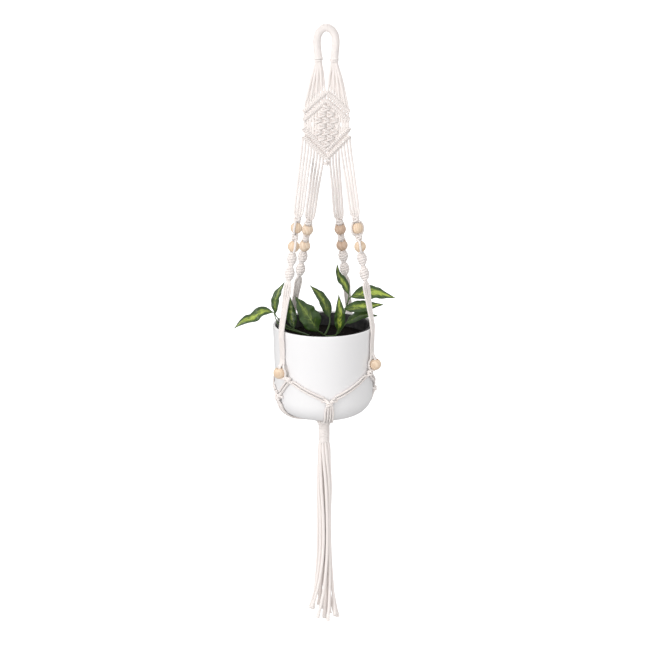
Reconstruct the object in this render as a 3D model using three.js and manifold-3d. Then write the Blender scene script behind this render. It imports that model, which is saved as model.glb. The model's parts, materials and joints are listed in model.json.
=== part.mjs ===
// Hanging macrame planter: a knotted cotton cord hanger with wooden beads that carries a round pot,
// with a leafy plant standing in it in a liner pot of its own.
// Millimetres, +Z up, front towards -Y. The origin is the underside of the loop's crown, where a hook
// bears.
import * as THREE from 'three';
import { mergeVertices } from 'three/addons/utils/BufferGeometryUtils.js';
import Module from 'manifold-3d';

const wasm = await Module();
wasm.setup();

// Driving dimensions
const CORD = 4; // cotton cord, diameter
const GAP = 0.3; // clearance between pieces that touch
const LOOP_HALF_WIDTH = 15.2; // to the centre of each limb
const LOOP_CROWN_RISE = 22;
const LOOP_FOOT_Z = -44;
const LOOP_FOOT_X = 13.2;
const LOOP_RADIUS = 7.5; // outside of the wrapping
const WRAP_THICKNESS = 2.9;
const PANEL_HALF_WIDTH = 37;
const PANEL_DEPTH = 10;
const STRAND_SPACING = 5; // of the strands that leave the panel
const CHEVRON_TOP_Z = -92;
const CHEVRON_HEIGHT = 28; // two ridges, measured straight down
const UPPER_SLOPE = Math.tan(THREE.MathUtils.degToRad(41));
const LOWER_SLOPE = Math.tan(THREE.MathUtils.degToRad(45.5));
const PANEL_TIP_Z = -218;
const LOWER_CHEVRON_HEIGHT = 26;
const BEAD_RADIUS = 10;
const BEAD_HOLE_RADIUS = 4.6;
const BEAD_PITCH = 31.5; // between the two upper beads of a leg
const POT_X = -4; // the pot hangs a little off the loop's plumb line
const RIM_Z = -497;
const RIM_RADIUS = 88;
const FOOT_RADIUS = 84.4; // pot side, where the rounded bottom begins
const POT_HEIGHT = 158;
const POT_FILLET = 35;
const POT_WALL = 4;
const POT_LIFT_CLEARANCE = 1.8; // between the rim and the leaning legs
const LAY = GAP + 0.5; // between the pot and the cords that lie on it
const BEAD_STANDOFF = 2 * GAP; // between the pot and a lower bead
const LINER_RADIUS = 79;
const LINER_WALL = 1.5;
const LINER_LIP = 1.8; // how far the rolled lip stands out, and how tall it is
const LINER_LIP_HEIGHT = 8;
const SOIL_Z = -520;
const SOIL_CROWN = 2; // the soil is a little higher in the middle
const KNOT_STANDOFF = 5.3; // from the pot's side to the middle of a knot
const FLAT_WIDTH = 3.4 * CORD; // four cords pressed side by side over the rim
const DROP_WIDTH = 3 * CORD; // the same, pulled tight under the pot
const FILLER_WIDTH = 2 * CORD - 0.4; // the two cords through a bead

// Knots, width by height by depth
const TOP_KNOT_SIZE = [13, 12, 10];
const MIDDLE_KNOT_SIZE = [11, 8, 9];
const SINNET_SIZE = [17, 25, 12];
const BASKET_KNOT_SIZE = [13, 7, 9];
const ROW_KNOT_SIZE = [17, 11, 9];

const GATHER_TOP_Z = -677;
const GATHER_LENGTH = 35;
const GATHER_RADIUS = 10.25;
const TASSEL_LENGTH = 322;

// Legs: azimuth about the pot's axis (0 is the front, +90 is +X), where the leg leaves the panel,
// the height of its top bead and lower bead, the sides on which the working cords pass each bead,
// and the knot under the lower bead, where the leg forks
const LEGS = {
  front_left: {
    azimuth: -52, exitX: -30, beadZ: -324, lowZ: -568,
    sides: [[-17, 163], [11, 191], [60, 175]],
    knot: { azimuth: -42, z: -578 },
  },
  front_right: {
    azimuth: 65, exitX: 30, beadZ: -326, lowZ: -558,
    sides: [[-55, 125], [2, 182], [-68, 185]],
    knot: { azimuth: 59, z: -571.5 },
  },
  rear_right: {
    azimuth: 151, exitX: 10, beadZ: -339, lowZ: -560,
    sides: [[150, -150], [155, -155], [40, 220]],
    knot: { azimuth: 151, z: -577.5 },
  },
  rear_left: {
    azimuth: -143, exitX: -10, beadZ: -339.5, lowZ: -562,
    sides: [[150, -150], [155, -155], [-40, 140]],
    knot: { azimuth: -143, z: -579.5 },
  },
};
// The second row of knots, round the lower side of the pot, and the legs whose cords meet in each
const KNOT_ROW = {
  front: { azimuth: 6, z: -614, legs: ['front_left', 'front_right'] },
  right: { azimuth: 104, z: -619, legs: ['front_right', 'rear_right'] },
  back: { azimuth: 186, z: -614, legs: ['rear_right', 'rear_left'] },
  left: { azimuth: -63, z: -617, legs: ['rear_left', 'front_left'] },
};

const COTTON = { color: 0xefe6dc, roughness: 0.95, metalness: 0 };
const BEECH = { color: 0xe3c39c, roughness: 0.55, metalness: 0 };
const GLAZE = { color: 0xf2f1ef, roughness: 0.3, metalness: 0 };
const LINER = { color: 0x17181a, roughness: 0.6, metalness: 0 };
const SOIL = { color: 0x2c211a, roughness: 1, metalness: 0 };
const LEAF = { color: 0x3f6b23, roughness: 0.5, metalness: 0 };

const planter = new THREE.Group();
const potAxis = new THREE.Group();
potAxis.position.x = POT_X;
planter.add(potAxis);

function addPiece(name, geometry, finish, parent = planter) {
  const piece = new THREE.Mesh(geometry, new THREE.MeshStandardMaterial(finish));
  piece.name = name;
  parent.add(piece);
  return piece;
}

// Solids: closed geometry to a manifold, and back
function solid(geometry) {
  const bare = geometry.clone();
  bare.deleteAttribute('normal');
  bare.deleteAttribute('uv');
  const merged = mergeVertices(bare, 1e-3);
  return new wasm.Manifold(new wasm.Mesh({
    numProp: 3,
    vertProperties: merged.attributes.position.array,
    triVerts: new Uint32Array(merged.index.array),
  }));
}

function geometryOf(body) {
  const mesh = body.getMesh();
  const geometry = new THREE.BufferGeometry();
  geometry.setAttribute('position', new THREE.BufferAttribute(new Float32Array(mesh.vertProperties), 3));
  geometry.setIndex(new THREE.BufferAttribute(new Uint32Array(mesh.triVerts), 1));
  return geometry;
}

// The union of some pieces, with the pockets enclosed between them filled in
function joined(geometries) {
  const whole = geometries.map(solid).reduce((sum, part) => sum.add(part));
  const bodies = whole.decompose().filter((part) => part.volume() > 0);
  return geometryOf(bodies.reduce((sum, part) => sum.add(part)));
}

// A piece cut back from its neighbours, without the slivers that the cut leaves behind them
function trimmed(geometry, cutter) {
  const parts = solid(geometry).subtract(cutter).decompose();
  return geometryOf(parts.reduce((most, part) => (part.volume() > most.volume() ? part : most)));
}

// Sections and sweeps
function polygonShape(points) {
  return new THREE.Shape(points.map(([x, y]) => new THREE.Vector2(x, y)));
}

function circlePoints(radius, sides, turn = 0) {
  return Array.from({ length: sides }, (_, i) => {
    const angle = turn + (2 * Math.PI * (i + 0.5)) / sides;
    return [radius * Math.cos(angle), radius * Math.sin(angle)];
  });
}

function smoothPath(points) {
  return new THREE.CatmullRomCurve3(points.map((p) => new THREE.Vector3(...p)), false, 'centripetal');
}

function tube(points, steps, radius = CORD / 2, sides = 6) {
  const section = polygonShape(circlePoints(radius, sides));
  const extrudePath = smoothPath(points);
  return new THREE.ExtrudeGeometry(section, { steps, extrudePath, bevelEnabled: false });
}

// Cords lying side by side: a round-edged strap whose flat face starts out facing the given way
function strap(points, steps, width, facing) {
  const path = smoothPath(points);
  const frames = path.computeFrenetFrames(steps, false);
  const turn = Math.atan2(facing.dot(frames.binormals[0]), facing.dot(frames.normals[0]));
  const half = width / 2 - CORD / 2;
  const outline = circlePoints(CORD / 2, 8).map(([t, w]) => [t, w + Math.sign(w) * half]);
  const turned = outline.map(([t, w]) => [
    t * Math.cos(turn) - w * Math.sin(turn),
    t * Math.sin(turn) + w * Math.cos(turn),
  ]);
  return new THREE.ExtrudeGeometry(polygonShape(turned), { steps, extrudePath: path, bevelEnabled: false });
}

// A pulled-tight knot: an ellipsoid turned to lie along an axis and face outwards, swollen where it cuts
function knot(centre, size, axis, facing, swell = 0) {
  const [width, height, depth] = size.map((measure) => measure + swell);
  const body = new THREE.OctahedronGeometry(0.5, 1);
  body.scale(width, depth, height);
  const up = axis.clone().normalize();
  const across = new THREE.Vector3().crossVectors(up, facing).normalize();
  const out = new THREE.Vector3().crossVectors(up, across);
  body.applyMatrix4(new THREE.Matrix4().makeBasis(across, out, up).setPosition(centre));
  return body;
}

// A turned piece about the Z axis; the profile runs round the section in (radius, height)
function turned(profile, segments) {
  const body = new THREE.LatheGeometry(profile.map(([r, z]) => new THREE.Vector2(r, z)), segments);
  body.rotateX(Math.PI / 2);
  return body;
}

function arcPoints(centreR, centreZ, radius, fromDegrees, toDegrees, pieces) {
  return Array.from({ length: pieces + 1 }, (_, i) => {
    const angle = THREE.MathUtils.degToRad(fromDegrees + ((toDegrees - fromDegrees) * i) / pieces);
    return [centreR + radius * Math.cos(angle), centreZ + radius * Math.sin(angle)];
  });
}

// Directions and points about the pot's axis
function outward(azimuth) {
  const angle = THREE.MathUtils.degToRad(azimuth);
  return new THREE.Vector3(Math.sin(angle), -Math.cos(angle), 0);
}

function aroundPot(radius, azimuth, z) {
  return outward(azimuth).multiplyScalar(radius).add(new THREE.Vector3(POT_X, 0, z));
}

const FILLET_Z = RIM_Z - POT_HEIGHT + POT_FILLET;

function wallRadius(z) {
  const share = THREE.MathUtils.clamp((RIM_Z - z) / (RIM_Z - FILLET_Z), 0, 1);
  return THREE.MathUtils.lerp(RIM_RADIUS, FOOT_RADIUS, share);
}

// Loop: sixteen cord halves folded over the hook, wrapped from foot to foot
function loopPath() {
  const crownZ = LOOP_RADIUS;
  const springZ = crownZ - LOOP_CROWN_RISE;
  const arch = arcPoints(0, 0, 1, 180, 0, 8)
    .map(([x, z]) => [LOOP_HALF_WIDTH * x, 0, springZ + LOOP_CROWN_RISE * z]);
  return [[-LOOP_FOOT_X, 0, LOOP_FOOT_Z], ...arch, [LOOP_FOOT_X, 0, LOOP_FOOT_Z]];
}

const LOOP_STEPS = 16;

function loopCore() {
  return tube(loopPath(), LOOP_STEPS, LOOP_RADIUS - WRAP_THICKNESS - GAP, 8);
}

function loopWrap() {
  const section = polygonShape(circlePoints(LOOP_RADIUS, 10));
  const inside = circlePoints(LOOP_RADIUS - WRAP_THICKNESS, 10);
  section.holes.push(new THREE.Path(inside.map(([x, y]) => new THREE.Vector2(x, y))));
  const extrudePath = smoothPath(loopPath());
  return new THREE.ExtrudeGeometry(section, { steps: LOOP_STEPS, extrudePath, bevelEnabled: false });
}

addPiece('loop_core', loopCore(), COTTON);
addPiece('loop_wrap', loopWrap(), COTTON);

// Panel: chevrons of double half hitch ridges round a diamond of square knots
function plate(points, depth) {
  const body = new THREE.ExtrudeGeometry(polygonShape(points), { depth, bevelEnabled: false });
  body.translate(0, 0, -depth / 2);
  body.rotateX(Math.PI / 2);
  return body;
}

function chevron(apexZ, height, slope, sign) {
  const drop = sign * PANEL_HALF_WIDTH * slope;
  return plate([
    [-PANEL_HALF_WIDTH, apexZ - drop],
    [-PANEL_HALF_WIDTH, apexZ - drop - height],
    [0, apexZ - height],
    [PANEL_HALF_WIDTH, apexZ - drop - height],
    [PANEL_HALF_WIDTH, apexZ - drop],
    [0, apexZ],
  ], PANEL_DEPTH);
}

const FIELD_TOP_Z = CHEVRON_TOP_Z - CHEVRON_HEIGHT - 2 * GAP;
const LOWER_APEX_Z = PANEL_TIP_Z + LOWER_CHEVRON_HEIGHT;
const FIELD_TIP_Z = LOWER_APEX_Z + 2 * GAP;
const FIELD_INSET = 3; // of the field behind the ends of the ridges
const FIELD_DEPTH = PANEL_DEPTH - 2;

function panelField() {
  const side = PANEL_HALF_WIDTH - FIELD_INSET;
  return plate([
    [-side, FIELD_TOP_Z - side * UPPER_SLOPE],
    [-side, FIELD_TIP_Z + side * LOWER_SLOPE],
    [0, FIELD_TIP_Z],
    [side, FIELD_TIP_Z + side * LOWER_SLOPE],
    [side, FIELD_TOP_Z - side * UPPER_SLOPE],
    [0, FIELD_TOP_Z],
  ], FIELD_DEPTH);
}

addPiece('upper_chevrons', chevron(CHEVRON_TOP_Z, CHEVRON_HEIGHT, UPPER_SLOPE, 1), COTTON);
addPiece('panel_field', panelField(), COTTON);
addPiece('lower_chevrons', chevron(LOWER_APEX_Z, LOWER_CHEVRON_HEIGHT, LOWER_SLOPE, -1), COTTON);

// Fans: the eight strands that spread from each foot of the loop to the upper chevrons, as one thin body
function fan(side) {
  const footX = side * LOOP_FOOT_X;
  const footHalf = LOOP_RADIUS - WRAP_THICKNESS;
  const tieZ = LOOP_FOOT_Z - 4 * GAP;
  const spreadZ = LOOP_FOOT_Z - 12;
  const seamZ = (x) => CHEVRON_TOP_Z - Math.abs(x) * UPPER_SLOPE + 2 * GAP;
  const edge = side * (PANEL_HALF_WIDTH - 0.5);
  const outline = [
    [footX - side * footHalf, tieZ],
    [footX - side * (footHalf + 0.5), spreadZ],
    [side * 2 * GAP, seamZ(2 * GAP)],
    [edge, seamZ(edge)],
    [footX + side * (footHalf + 2), spreadZ],
    [footX + side * footHalf, tieZ],
  ];
  return plate(side < 0 ? outline.reverse() : outline, 2 * footHalf);
}

addPiece('fan_left', fan(-1), COTTON);
addPiece('fan_right', fan(1), COTTON);

// Legs
const PLUMB = new THREE.Vector3(0, 0, -1);

// A leg's line: from the panel straight to the rim, and the way its four cords face
function legLine(leg) {
  const exit = new THREE.Vector3(leg.exitX, 0, PANEL_TIP_Z + Math.abs(leg.exitX) * LOWER_SLOPE);
  const bend = aroundPot(RIM_RADIUS + CORD / 2 + POT_LIFT_CLEARANCE, leg.azimuth, RIM_Z);
  const down = bend.clone().sub(exit).normalize();
  const bead = exit.clone().addScaledVector(down, (leg.beadZ - exit.z) / down.z);
  const tangent = new THREE.Vector3(0, 0, 1).cross(outward(leg.azimuth)).negate();
  const facing = new THREE.Vector3().crossVectors(tangent, down).normalize();
  if (facing.dot(outward(leg.azimuth)) < 0) facing.negate();
  return { exit, bend, down, bead, facing, along: (s) => bead.clone().addScaledVector(down, s) };
}

const TOP_KNOT = -16.5; // distances down the leg from the centre of its top bead
const MIDDLE_KNOT = BEAD_PITCH / 2;
const SINNETS = [BEAD_PITCH + 20.5, BEAD_PITCH + 46];
const CORDS_FROM = TOP_KNOT + TOP_KNOT_SIZE[1] / 2 + GAP;

function topKnot(line, swell) {
  return knot(line.along(TOP_KNOT), TOP_KNOT_SIZE, line.down, line.facing, swell);
}

// Four strands from the panel's lower edge to the knot above the first bead
function legStrands(leg) {
  const line = legLine(leg);
  const side = Math.sign(leg.exitX);
  const end = line.along(TOP_KNOT);
  const strands = [-1.5, -0.5, 0.5, 1.5].map((i) => {
    const x = leg.exitX + side * i * STRAND_SPACING;
    const start = new THREE.Vector3(x, 0, PANEL_TIP_Z + Math.abs(x) * LOWER_SLOPE - GAP * 2);
    const near = start.clone().addScaledVector(PLUMB, 14).lerp(end, 0.04);
    const stop = end.clone().setX(end.x + side * i * 1.8);
    return tube([start.toArray(), near.toArray(), stop.toArray()], 3);
  });
  const body = joined([...strands, topKnot(line, 0)]);
  const above = chevron(PANEL_TIP_Z + PANEL_HALF_WIDTH, PANEL_HALF_WIDTH + GAP, LOWER_SLOPE, -1);
  return geometryOf(solid(body).subtract(solid(above)));
}

// A working cord that bows out round a bead: how far down from the bead's centre, and how far out
const BOW = [
  [-13.5, 2], [-11, 6.6], [-8, 10], [-4, 12.1], [0, 12.8], [4, 12.1], [8, 10], [11, 6.6], [13.5, 2],
];

function bowPoints(centre, down, azimuth) {
  const out = outward(azimuth).addScaledVector(down, -outward(azimuth).dot(down)).normalize();
  return BOW.map(([s, r]) => centre.clone().addScaledVector(down, s).addScaledVector(out, r).toArray());
}

function lowBead(leg) {
  return aroundPot(wallRadius(leg.lowZ) + BEAD_RADIUS + BEAD_STANDOFF, leg.azimuth, leg.lowZ);
}

function knotCentre(place) {
  return aroundPot(wallRadius(place.z) + KNOT_STANDOFF, place.azimuth, place.z);
}

function basketKnot(leg, swell) {
  return knot(knotCentre(leg.knot), BASKET_KNOT_SIZE, PLUMB, outward(leg.knot.azimuth), swell);
}

// Basket: from each leg a knot on the pot's side sends a pair of cords to the knot on either hand
const ARM_OFFSET = 2.3; // of each cord of a pair from the pair's middle

function unwound(azimuth, from) {
  return from + ((((azimuth - from) % 360) + 540) % 360) - 180;
}

function armPoints(leg, row, offset) {
  const from = leg.knot;
  const turn = unwound(row.azimuth, from.azimuth);
  const arc = THREE.MathUtils.degToRad(turn - from.azimuth) * FOOT_RADIUS;
  const fall = row.z + 4 - from.z;
  const length = Math.hypot(arc, fall);
  return [0.04, 0.25, 0.47, 0.69, 0.9].map((share) => {
    const sag = Math.sin(Math.PI * share);
    const azimuth = THREE.MathUtils.lerp(from.azimuth, turn, share)
      - THREE.MathUtils.radToDeg((offset * fall) / length / FOOT_RADIUS);
    const z = from.z + fall * share + (offset * arc) / length - sag;
    return aroundPot(wallRadius(z) + CORD / 2 + LAY, azimuth, z).toArray();
  });
}

function basketFork(leg, swell) {
  const rows = Object.values(KNOT_ROW).filter((row) => row.legs.some((name) => LEGS[name] === leg));
  const arms = rows.flatMap((row) => [-ARM_OFFSET, ARM_OFFSET].map((offset) => (
    tube(armPoints(leg, row, offset), 6, (CORD + swell) / 2, 5))));
  return joined([basketKnot(leg, swell), ...arms]);
}

// The knotted upper part of a leg: two filler cords through the beads, two working cords round them, and
// the knots between and below the beads
function upperCords(leg, line) {
  const parts = [];
  const sinnetEnd = line.along(SINNETS[1] + 9);
  const filler = [line.along(CORDS_FROM), sinnetEnd];
  parts.push(strap(filler.map((p) => p.toArray()), 1, FILLER_WIDTH, line.facing));
  const beads = [line.bead, line.along(BEAD_PITCH)];
  beads.forEach((centre, i) => leg.sides[i].forEach((azimuth) => {
    parts.push(tube(bowPoints(centre, line.down, azimuth), 6, CORD / 2, 5));
  }));
  parts.push(knot(line.along(MIDDLE_KNOT), MIDDLE_KNOT_SIZE, line.down, line.facing));
  SINNETS.forEach((s) => parts.push(knot(line.along(s), SINNET_SIZE, line.down, line.facing)));
  return parts;
}

// The flat run of four cords over the rim, and the same cords through and round the lower bead
function lowerCords(leg, line) {
  const lowCentre = lowBead(leg);
  const joinZ = leg.lowZ + BEAD_RADIUS + 9;
  const wallPoint = (z, gap) => aroundPot(wallRadius(z) + CORD / 2 + gap, leg.azimuth, z);
  const flat = [
    line.along(SINNETS[1]),
    line.along(SINNETS[1] + 40),
    line.bend.clone().addScaledVector(line.down, -6),
    wallPoint(RIM_Z - 8, POT_LIFT_CLEARANCE),
    wallPoint((RIM_Z + joinZ) / 2, 1.2),
    wallPoint(joinZ, 1.6),
  ];
  const under = lowCentre.clone().setZ(leg.lowZ - BEAD_RADIUS - 2.5);
  const filler = [
    wallPoint(joinZ + 3, 1.8),
    lowCentre.clone().setZ(leg.lowZ + BEAD_RADIUS + 1),
    lowCentre,
    under,
  ];
  const end = knotCentre(leg.knot);
  const tail = [under, under.clone().lerp(end, 0.4).setZ(under.z - 2.5), end];
  const bows = leg.sides[2].map((azimuth) => (
    [wallPoint(joinZ + 2, 1.8).toArray(), ...bowPoints(lowCentre, PLUMB, azimuth).slice(1)]));
  return [
    strap(flat.map((p) => p.toArray()), 9, FLAT_WIDTH, line.facing),
    strap(filler.map((p) => p.toArray()), 5, FILLER_WIDTH, outward(leg.azimuth)),
    tube(tail.map((p) => p.toArray()), 6, 0.8 * CORD, 6),
    ...bows.map((route) => tube(route, 7, CORD / 2, 5)),
  ];
}

// Everything of a leg from under its top knot to the knot on the pot's side
function legCords(leg) {
  const line = legLine(leg);
  const cords = joined([...upperCords(leg, line), ...lowerCords(leg, line)]);
  return trimmed(cords, solid(topKnot(line, 2 * GAP)).add(solid(basketFork(leg, 2 * GAP))));
}

function bead(centre, down) {
  const hole = Math.asin(BEAD_HOLE_RADIUS / BEAD_RADIUS) * THREE.MathUtils.RAD2DEG;
  const outside = arcPoints(0, 0, BEAD_RADIUS, hole - 90, 90 - hole, 5);
  const body = turned([...outside, outside[0]], 10);
  body.applyQuaternion(new THREE.Quaternion().setFromUnitVectors(PLUMB, down));
  body.translate(...centre.toArray());
  return body;
}

for (const [name, leg] of Object.entries(LEGS)) {
  const line = legLine(leg);
  addPiece(`${name}_strands`, legStrands(leg), COTTON);
  addPiece(`${name}_cords`, legCords(leg), COTTON);
  addPiece(`${name}_bead_upper`, bead(line.bead, line.down), BEECH);
  addPiece(`${name}_bead_middle`, bead(line.along(BEAD_PITCH), line.down), BEECH);
  addPiece(`${name}_bead_lower`, bead(lowBead(leg), PLUMB), BEECH);
}

// Drops: from each knot of the second row four cords run side by side round the bottom to the gathering
function dropPoints(row) {
  const centreR = FOOT_RADIUS - POT_FILLET;
  const radius = POT_FILLET + CORD / 2 + LAY;
  const endR = GATHER_RADIUS - 0.4;
  const endZ = GATHER_TOP_Z + GAP + 1.5;
  const toEnd = [endR - centreR, endZ - FILLET_Z];
  const reach = Math.hypot(...toEnd);
  const leave = Math.atan2(-toEnd[0], -toEnd[1]) + Math.asin(radius / reach);
  const bend = arcPoints(centreR, FILLET_Z, radius, 0, -THREE.MathUtils.radToDeg(leave), 4);
  const route = [[centreR + radius, row.z], ...bend, [endR, endZ]];
  return route.map(([r, z]) => aroundPot(r, row.azimuth, z).toArray());
}

function rowKnot(row, swell) {
  return knot(knotCentre(row), ROW_KNOT_SIZE, PLUMB, outward(row.azimuth), swell);
}

function basketDrop(row) {
  return joined([rowKnot(row, 0), strap(dropPoints(row), 9, DROP_WIDTH, outward(row.azimuth))]);
}

const drops = Object.entries(KNOT_ROW).map(([name, row]) => [name, basketDrop(row)]);
const dropSpace = Object.values(KNOT_ROW)
  .map((row) => solid(rowKnot(row, 2 * GAP)))
  .reduce((sum, part) => sum.add(part));

for (const [name, leg] of Object.entries(LEGS)) {
  addPiece(`${name}_fork`, trimmed(basketFork(leg, 0), dropSpace), COTTON);
}
for (const [name, geometry] of drops) addPiece(`${name}_drop`, geometry, COTTON);

// Gathering: the sixteen strands bound together under the pot, and the tassel they end in
function gatherCore() {
  const radius = GATHER_RADIUS - WRAP_THICKNESS - GAP;
  return turned([[0, -GATHER_LENGTH], [radius, -GATHER_LENGTH], [radius, 0], [0, 0]], 16);
}

function gatherWrap() {
  const inner = GATHER_RADIUS - WRAP_THICKNESS;
  return turned([
    [inner, -GATHER_LENGTH],
    [GATHER_RADIUS, -GATHER_LENGTH],
    [GATHER_RADIUS, 0],
    [inner, 0],
    [inner, -GATHER_LENGTH],
  ], 16);
}

addPiece('gather_core', gatherCore(), COTTON, potAxis).position.z = GATHER_TOP_Z;
addPiece('gather_wrap', gatherWrap(), COTTON, potAxis).position.z = GATHER_TOP_Z;

// Tassel strands: where each leaves the gathering, and how far it hangs and flares
const TASSEL_TOP_Z = GATHER_TOP_Z - GATHER_LENGTH - GAP;
const TASSEL_SHARES = [0, 0.08, 0.25, 0.45, 0.65, 0.82, 0.93, 1];
const TASSEL_RINGS = [
  { count: 1, radius: 0, turn: 0, spread: 0 },
  { count: 5, radius: 4.35, turn: 0, spread: 6 },
  { count: 10, radius: 8.1, turn: 18, spread: 17 },
];

function tasselStrands() {
  return TASSEL_RINGS.flatMap((ring) => Array.from({ length: ring.count }, (_, i) => {
    const azimuth = ring.turn + (360 * i) / ring.count;
    const side = outward(azimuth);
    const length = TASSEL_LENGTH + 8 * Math.cos(THREE.MathUtils.degToRad(azimuth * 3)) + 9 * side.x;
    return TASSEL_SHARES.map((share) => {
      const flare = ring.spread * (0.2 * share + 0.8 * share ** 6);
      const belly = 0.275 * ring.radius * Math.sin(Math.PI * Math.min(share * 2, 1));
      const point = side.clone().multiplyScalar(ring.radius + flare + belly);
      return point.setZ(TASSEL_TOP_Z - length * share).toArray();
    });
  }));
}

tasselStrands().forEach((route, i) => {
  const number = String(i + 1).padStart(2, '0');
  addPiece(`tassel_strand_${number}`, tube(route, 10, CORD / 2, 8), COTTON, potAxis);
});

// Pot, the liner pot that stands in it, and the soil
function potBody() {
  const base = RIM_Z - POT_HEIGHT;
  const insideFoot = FOOT_RADIUS - POT_WALL;
  return turned([
    [0, base],
    ...arcPoints(FOOT_RADIUS - POT_FILLET, FILLET_Z, POT_FILLET, -90, 0, 5),
    [RIM_RADIUS, RIM_Z - 1],
    [RIM_RADIUS - 1, RIM_Z],
    [RIM_RADIUS - POT_WALL + 1, RIM_Z],
    [RIM_RADIUS - POT_WALL, RIM_Z - 1],
    [insideFoot, FILLET_Z],
    ...arcPoints(FOOT_RADIUS - POT_FILLET, FILLET_Z, POT_FILLET - POT_WALL, 0, -90, 4).slice(1),
    [0, base + POT_WALL],
  ], 30);
}

const LINER_FLOOR_Z = RIM_Z - POT_HEIGHT + POT_WALL + GAP;
const LINER_TOP_Z = RIM_Z - 1.5;
const LINER_FOOT = 50; // radius of the floor; the side starts from a bevel
const LINER_BEVEL = 9;

function linerOutline(inset) {
  return [
    [LINER_FOOT - inset, LINER_FLOOR_Z + inset],
    [LINER_FOOT + LINER_BEVEL - inset, LINER_FLOOR_Z + LINER_BEVEL],
    [LINER_RADIUS - inset, LINER_TOP_Z - LINER_LIP_HEIGHT],
  ];
}

function linerPot() {
  return turned([
    [0, LINER_FLOOR_Z],
    ...linerOutline(0),
    [LINER_RADIUS + LINER_LIP, LINER_TOP_Z - LINER_LIP_HEIGHT],
    [LINER_RADIUS + LINER_LIP, LINER_TOP_Z],
    [LINER_RADIUS - LINER_WALL, LINER_TOP_Z],
    ...linerOutline(LINER_WALL).reverse(),
    [0, LINER_FLOOR_Z + LINER_WALL],
  ], 24);
}

function soilPlug() {
  const inset = LINER_WALL + GAP * 2;
  const [floor, low, high] = linerOutline(inset);
  const share = (SOIL_Z - low[1]) / (high[1] - low[1]);
  const radius = THREE.MathUtils.lerp(low[0], high[0], share);
  const crownZ = SOIL_Z + SOIL_CROWN;
  return turned([[0, floor[1]], floor, low, [radius, SOIL_Z], [radius / 2, crownZ], [0, crownZ]], 24);
}

addPiece('pot', potBody(), GLAZE, potAxis);
addPiece('liner_pot', linerPot(), LINER, potAxis);
addPiece('soil', soilPlug(), SOIL, potAxis);

// Plant: three stems whose long leaves reach out between the legs.
// A leaf runs along its midrib, from stalk to tip; width is across it, and facing is the way its top looks.
const LEAF_SHAPE = [[0, 0.06], [0.15, 0.65], [0.38, 1], [0.65, 0.85], [0.86, 0.42], [1, 0.03]];
const LEAF_THICKNESS = 1.2;
const STALK_RADIUS = 1.6;
const ROOT_RADIUS = 5; // of the ball in which the stalks of a stem meet

function leafBlade({ rib, width, facing }) {
  const path = smoothPath(rib);
  const right = LEAF_SHAPE.map(([u, w]) => new THREE.Vector2(w, u));
  const left = LEAF_SHAPE.map(([u, w]) => new THREE.Vector2(-w, u)).reverse();
  const outline = new THREE.Shape([...right, ...left]);
  const blade = new THREE.ExtrudeGeometry(outline, { depth: 1, bevelEnabled: false });
  const spots = blade.attributes.position;
  const look = new THREE.Vector3(...facing).normalize();
  for (let i = 0; i < spots.count; i += 1) {
    const u = spots.getY(i);
    const along = path.getTangentAt(u);
    const across = new THREE.Vector3().crossVectors(along, look).normalize();
    const up = new THREE.Vector3().crossVectors(across, along);
    const place = path.getPointAt(u)
      .addScaledVector(across, (spots.getX(i) * width) / 2)
      .addScaledVector(up, (spots.getZ(i) - 0.5) * LEAF_THICKNESS);
    spots.setXYZ(i, place.x, place.y, place.z);
  }
  return blade;
}

const PLANT = {
  plant_left: {
    crown: [-26, 4],
    leaves: [
      {
        stalk: [[-80, -33, -490], [-86, -32, -480]],
        rib: [[-90, -31, -469], [-108, -33, -468], [-125, -35, -478], [-158, -36, -497]],
        width: 25,
        facing: [0.2, -0.6, 0.75],
      },
      {
        stalk: [[-68, -4, -500]],
        rib: [[-88, 0, -480], [-86, 2, -452], [-71, 5, -424]],
        width: 20,
        facing: [-0.5, -0.8, 0.2],
      },
      {
        stalk: [[-50, 4, -514]],
        rib: [[-56, 5, -508], [-61, 9, -480], [-62, 11, -452]],
        width: 19,
        facing: [0.2, -1, 0.2],
      },
    ],
  },
  plant_centre: {
    crown: [0, 0],
    leaves: [
      {
        stalk: [[-8, -8, -512]],
        rib: [[-14, -14, -507], [-30, -20, -480], [-53, -17, -445]],
        width: 38,
        facing: [0.5, -0.8, 0.3],
      },
      {
        stalk: [[4, 6, -505]],
        rib: [[6, 10, -490], [-6, 13, -458], [-29, 10, -431]],
        width: 21,
        facing: [0.4, -0.8, 0.4],
      },
      {
        stalk: [[14, -10, -516]],
        rib: [[21, -14, -508], [23, -19, -478], [21, -20, -440]],
        width: 19,
        facing: [0.1, -1, 0.1],
      },
    ],
  },
  plant_right: {
    crown: [22, 8],
    leaves: [
      {
        stalk: [[30, 16, -485]],
        rib: [[39, 20, -451], [28, 22, -425], [18, 20, -395]],
        width: 18,
        facing: [0.6, -0.8, 0.2],
      },
      {
        stalk: [[32, 14, -480]],
        rib: [[42, 15, -454], [75, 17, -446], [120, 15, -456]],
        width: 27,
        facing: [0, -0.75, 0.65],
      },
      {
        stalk: [[27, 6, -486]],
        rib: [[30, 2, -472], [65, 5, -468], [99, 6, -465]],
        width: 24,
        facing: [0, -0.7, 0.7],
      },
      {
        stalk: [[28, 12, -508]],
        rib: [[34, 12, -500], [62, 14, -486], [90, 12, -487]],
        width: 22,
        facing: [0, -0.5, 0.85],
      },
    ],
  },
};

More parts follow.
